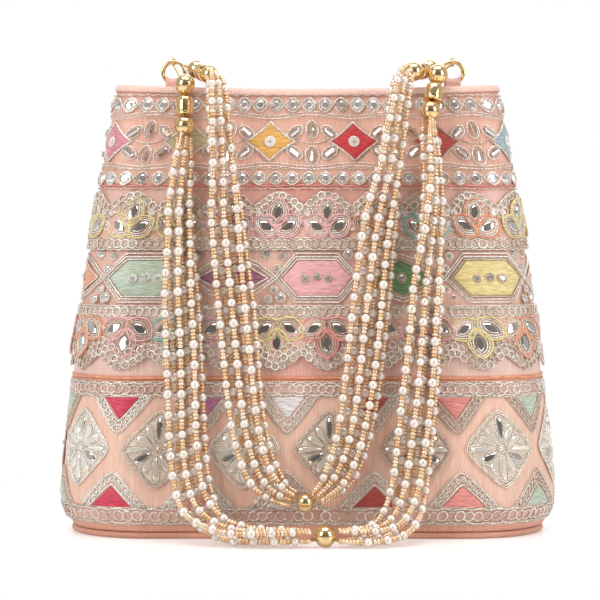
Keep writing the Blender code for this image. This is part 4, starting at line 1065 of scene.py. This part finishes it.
for name, lace, hand, foot, leaves, insets, charm, charm_height in (
        ("upper", upper, 1, 134.6, [(0.0, 8.0, -12.0), (-4.9, 1.9, 56.0), (4.9, 1.9, -56.0)],
         (1.5, 4.0), three_spangles, 141.4),
        ("lower", lower, -1, 93.9, [(0.0, -8.6, 0.0), (-5.5, -2.3, -56.0), (5.5, -2.3, 56.0)],
         (1.6, 4.2, 6.6), spangle_form(1.5), 91.5)):
    straight, count = lace["straight"], lace["count"]
    shares = in_row(count, lace["shift"], straight, half=0.5)
    trefoil = merged([moved(leaf, x, y, tilt, 0.92) for x, y, tilt in leaves] + [moved(stem, 0, 1.5 * hand)])
    dyes = [leaf_dyes[place] for place in chance.integers(0, 10, count)]
    parts = [sewn(trefoil, shares + chance.uniform(-0.4, 0.4, count) / net_round, foot, net_face, straight,
                  tilts=chance.uniform(-3, 3, count), leans=0.10, dyes=dyes)]
    fill = np.linspace(0, 1, count * 40 + 1)
    high = free_edge(lace, fill + lace_start(lace))
    edge_level = 0.5 * (lace["cusp"] + lace["crest"])
    along = fill * round_length(edge_level)
    slope = np.gradient(high, along)
    lean = np.stack([slope, -np.ones_like(slope)], axis=1) * hand / np.hypot(slope, 1.0)[:, None]
    for inset in insets:
        row = np.stack([along, high], axis=1) + lean * inset
        run = run_along(row)
        x, z = points_along(row, run, np.arange(0.0, run[-1], 3.05)).T
        z = z + chance.uniform(-0.25, 0.25, len(x))
        parts.append(sewn(ring_form, x / along[-1] + lace_start(lace), z,
                          net_face + chance.uniform(0, 0.3, len(x)), edge_level,
                          sizes=chance.uniform(0.86, 1.08, len(x))))
    braid = straight + 2.6 * hand
    parts.append(sewn(braid_form, in_row(int(round_length(braid) / 3.2), 0, braid), braid, 1.35, braid))
    for edge in (-2.5, 2.5):
        parts.append(couched(lambda share: braid + edge + 0.2 * np.sin(share * 700), 1.5, 0.36))
    parts.append(sewn(charm, in_row(count, lace["shift"], straight), charm_height, 1.5, straight, leans=0.1))
    zari_piece(name + "_trefoil_work", parts)

# Cartouche band
# Long hexagons and diamonds of floss in turn, all round, inside two pairs of cord that cross
# between them. Loose stones are sewn round each crossing.
band_row, hexagon_shift, rhomb_shift, crossing_shift = 113.8, 4.4, 42.8, 19.2
on_row = {"level": band_row, "swell": -0.04}
hexagon = corners_path([(17.4, 0.0), (9.6, 8.4), (-9.6, 8.4), (-17.4, 0.0), (-9.6, -8.4), (9.6, -8.4)], 7)
rhomb = corners_path([(16.4, 0.0), (0.0, 8.3), (-16.4, 0.0), (0.0, -8.3)], 9)
hexagons, rhombs = in_row(6, hexagon_shift, band_row), in_row(6, rhomb_shift, band_row)
parts = []
for shares, path, names in ((hexagons, hexagon, "pink yellow mist coral teal sage"),
                            (rhombs, rhomb, "green orange mist rose orange plum")):
    parts.append(sewn(pad_form(path * 0.93, 0.6, to_dye, 0.93, 3), shares, band_row, 0.4, **on_row,
                      dyes=silk_dyes(names)))
    parts.append(sewn(thread_form(path * 0.97, 0.4), shares, band_row, 0.65, **on_row))
triple = merged([moved(stone_form(1.35), x, y) for x, y in ((-5.6, -0.3), (0.0, 0.4), (5.2, -0.2))])
parts.append(sewn(triple, hexagons, band_row, 1.0, **on_row, leans=0.1))
parts.append(sewn(stone_form(1.6), rhombs, band_row, 1.0, **on_row, leans=0.1))
phase = [0.0, 0.13, 0.25, 0.36, 0.5, 0.64, 0.75, 0.87, 1.0]
wave = [10.0, 10.0, 0.0, -6.0, -9.8, -6.0, 0.0, 10.0, 10.0]
for hand in (1, -1):
    for gap in (-0.75, 0.75):
        parts.append(couched(
            lambda share: band_row + hand * (np.interp((share - hexagons[0]) * 6 % 1.0, phase, wave) + gap),
            0.75 + 0.25 * hand, 0.42, samples=900, swell=on_row["swell"], tint=0.8))
cluster = [(-4.5, 10.3, 1.75), (3.1, 9.6, 1.3), (0.7, 4.1, 1.2), (-0.3, -5.2, 1.3), (2.8, -8.6, 1.75),
           (-2.8, -9.3, 1.3)]
loose_stones = merged([moved(stone_form(radius), x, y) for x, y, radius in cluster])
crossings = np.concatenate([in_row(6, hexagon_shift + crossing_shift, band_row),
                            in_row(6, rhomb_shift + crossing_shift, band_row)])
parts.append(sewn(loose_stones, crossings, band_row, 0.5, **on_row, leans=0.15))
zari_piece("cartouche_band", parts)

# Foot rows
# A folded satin edge and two laces of chained rings bound the lower panel. The rings and the wavy
# cords beside them are silver thread, sewn on over strips of net.
parts = [couched(lambda share: 70.1 + 0.15 * np.sin(share * 80), 0.25, 0.75, slot=silk_slot["orange"])]
for level, radius, pitch, edge in ((65.2, 1.75, 3.3, 2.7), (10.1, 2.05, 3.9, 3.2)):
    count = int(round_length(level) / pitch)
    parts.append(sewn(thread_form(circle(11) * radius, 0.42), in_row(count, 0, level),
                      level + chance.uniform(-0.3, 0.3, count), 0.5, level,
                      sizes=chance.uniform(0.92, 1.08, count)))
    scale = math.pi * (count // 2)
    for hand in (1, -1):
        parts.append(couched(lambda share: level + hand * (edge - 0.5 + 0.55 * np.abs(np.sin(scale * share))),
                             0.8, 0.40, samples=1400, tint=0.7))
        parts.append(couched(lambda share: level + hand * (edge + 0.55), 0.6, 0.3, tint=0.3))
zari_piece("ring_chain_laces", parts)

# Mirror diamonds and chevrons
# Fourteen big diamonds, each a flower of twelve drop-shaped mirrors in cord inside a double cord
# outline. Between them a chevron of spangles hangs from the top and another stands on the foot,
# each round a triangle of floss.
panel_row, panel_count, panel_shift = 39.2, 14, 9.8
half_wide, half_tall, heart = 17.2, 18.7, 2.4
big = corners_path([(half_wide, 0.0), (0.0, half_tall), (-half_wide, 0.0), (0.0, -half_tall)], 10)
from_corner = (np.arange(40) + 4) % 10 - 4
blunt = big * (1.0 - 0.10 * np.exp(-(from_corner / 1.2) ** 2))[:, None]
work = [thread_form(blunt, 0.45), thread_form(blunt * 0.94, 0.40), thread_form(blunt * 0.885, 0.22),
        pad_form(blunt * 0.9, 0.12, silk_slot["cream"], 0.95, 3)]
round_up, round_across = circle(16).T
for place in range(12):
    angle = math.radians(30 * place + 90)
    reach = 0.90 / (abs(math.cos(angle)) / half_wide + abs(math.sin(angle)) / half_tall) - 0.2
    reach = min(reach, 14.6)
    middle, half = (reach + heart) / 2, (reach - heart) / 2
    wide = (2.3, 2.75, 2.75)[place % 3]
    along = middle - half * round_up
    across = -wide * round_across * (0.34 + 0.66 * (along - heart) / (reach - heart))
    drop = np.stack([across, along], axis=1)
    glass = stacked((drop - [0, middle]) * [0.72, 0.84], [(0, 0), (1, 0.0), (1, 0.45), (0.75, 0.8), (0, 0.8)])
    slope = chance.uniform(-0.13, 0.13, 2)
    cut = glass[0] + np.outer(glass[0][:, :2] @ slope + 0.1, [0, 0, 1]) + [0, middle, 0]
    petal = merged([(cut, *glass[1:], pale if place % 4 else mirror, 0.5), thread_form(drop, 0.36)])
    work.append(moved(petal, tilt=30 * place))
knob = (*stacked(circle(9), [(0, 0), (1.0, 0), (1.2, 0.7), (0, 1.1)]), zari, 0.8)
work += [thread_form(circle(10) * 1.6, 0.42), knob]
shares = in_row(panel_count, panel_shift, panel_row)
between = in_row(panel_count, panel_shift, panel_row, half=0.5)
parts = [sewn(merged(work), shares, panel_row, 0.55, panel_row, leans=0.02)]


def chevron(half, depth, steps=15):
    """A V from its two ends at the given half width down to its rounded vertex."""
    x = np.linspace(-half, half, steps)
    return np.stack([x, -depth * (1.0 - np.sqrt((x / half) ** 2 * 0.99 + 0.01))], axis=1)


little_spangle = merged([thread_form(circle(8) * 1.05, 0.36), gem_form(0.6, 0.3, spangle)])
dyes = silk_dyes("maroon coral sage yellow teal crimson orchid white maroon coral sage crimson orchid white")
for level, tilt, (wide, tall), (half, depth) in (
        (62.0, 0, (13.2, 17.4), (9.2, 11.8)), (13.6, 180, (15.2, 17.2), (10.8, 11.4))):
    band = [thread_form(chevron(*sizes), wire, closed=False) for sizes, wire in (
        ((wide, tall), 0.42), ((half, depth), 0.42), ((wide + 0.9, tall + 1.0), 0.28))]
    middle = chevron((wide + half) / 2, (tall + depth) / 2, 41)
    run = run_along(middle)
    band += [moved(little_spangle, x, y) for x, y in points_along(middle, run, np.arange(1.3, run[-1], 2.75))]
    half, depth = half - 1.0, depth - 2.0
    face = corners_path([(half, 0.0), (0.0, 0.0), (-half, 0.0), (0.0, -depth)], 6) + [0, depth * 0.36]
    band.append(moved(pad_form(face, 0.5, to_dye, 0.92, 2), dy=-depth * 0.36))
    parts.append(sewn(moved(merged(band), tilt=tilt), between, level, 0.25, panel_row, dyes=dyes))
zari_piece("mirror_diamond_panel", parts)
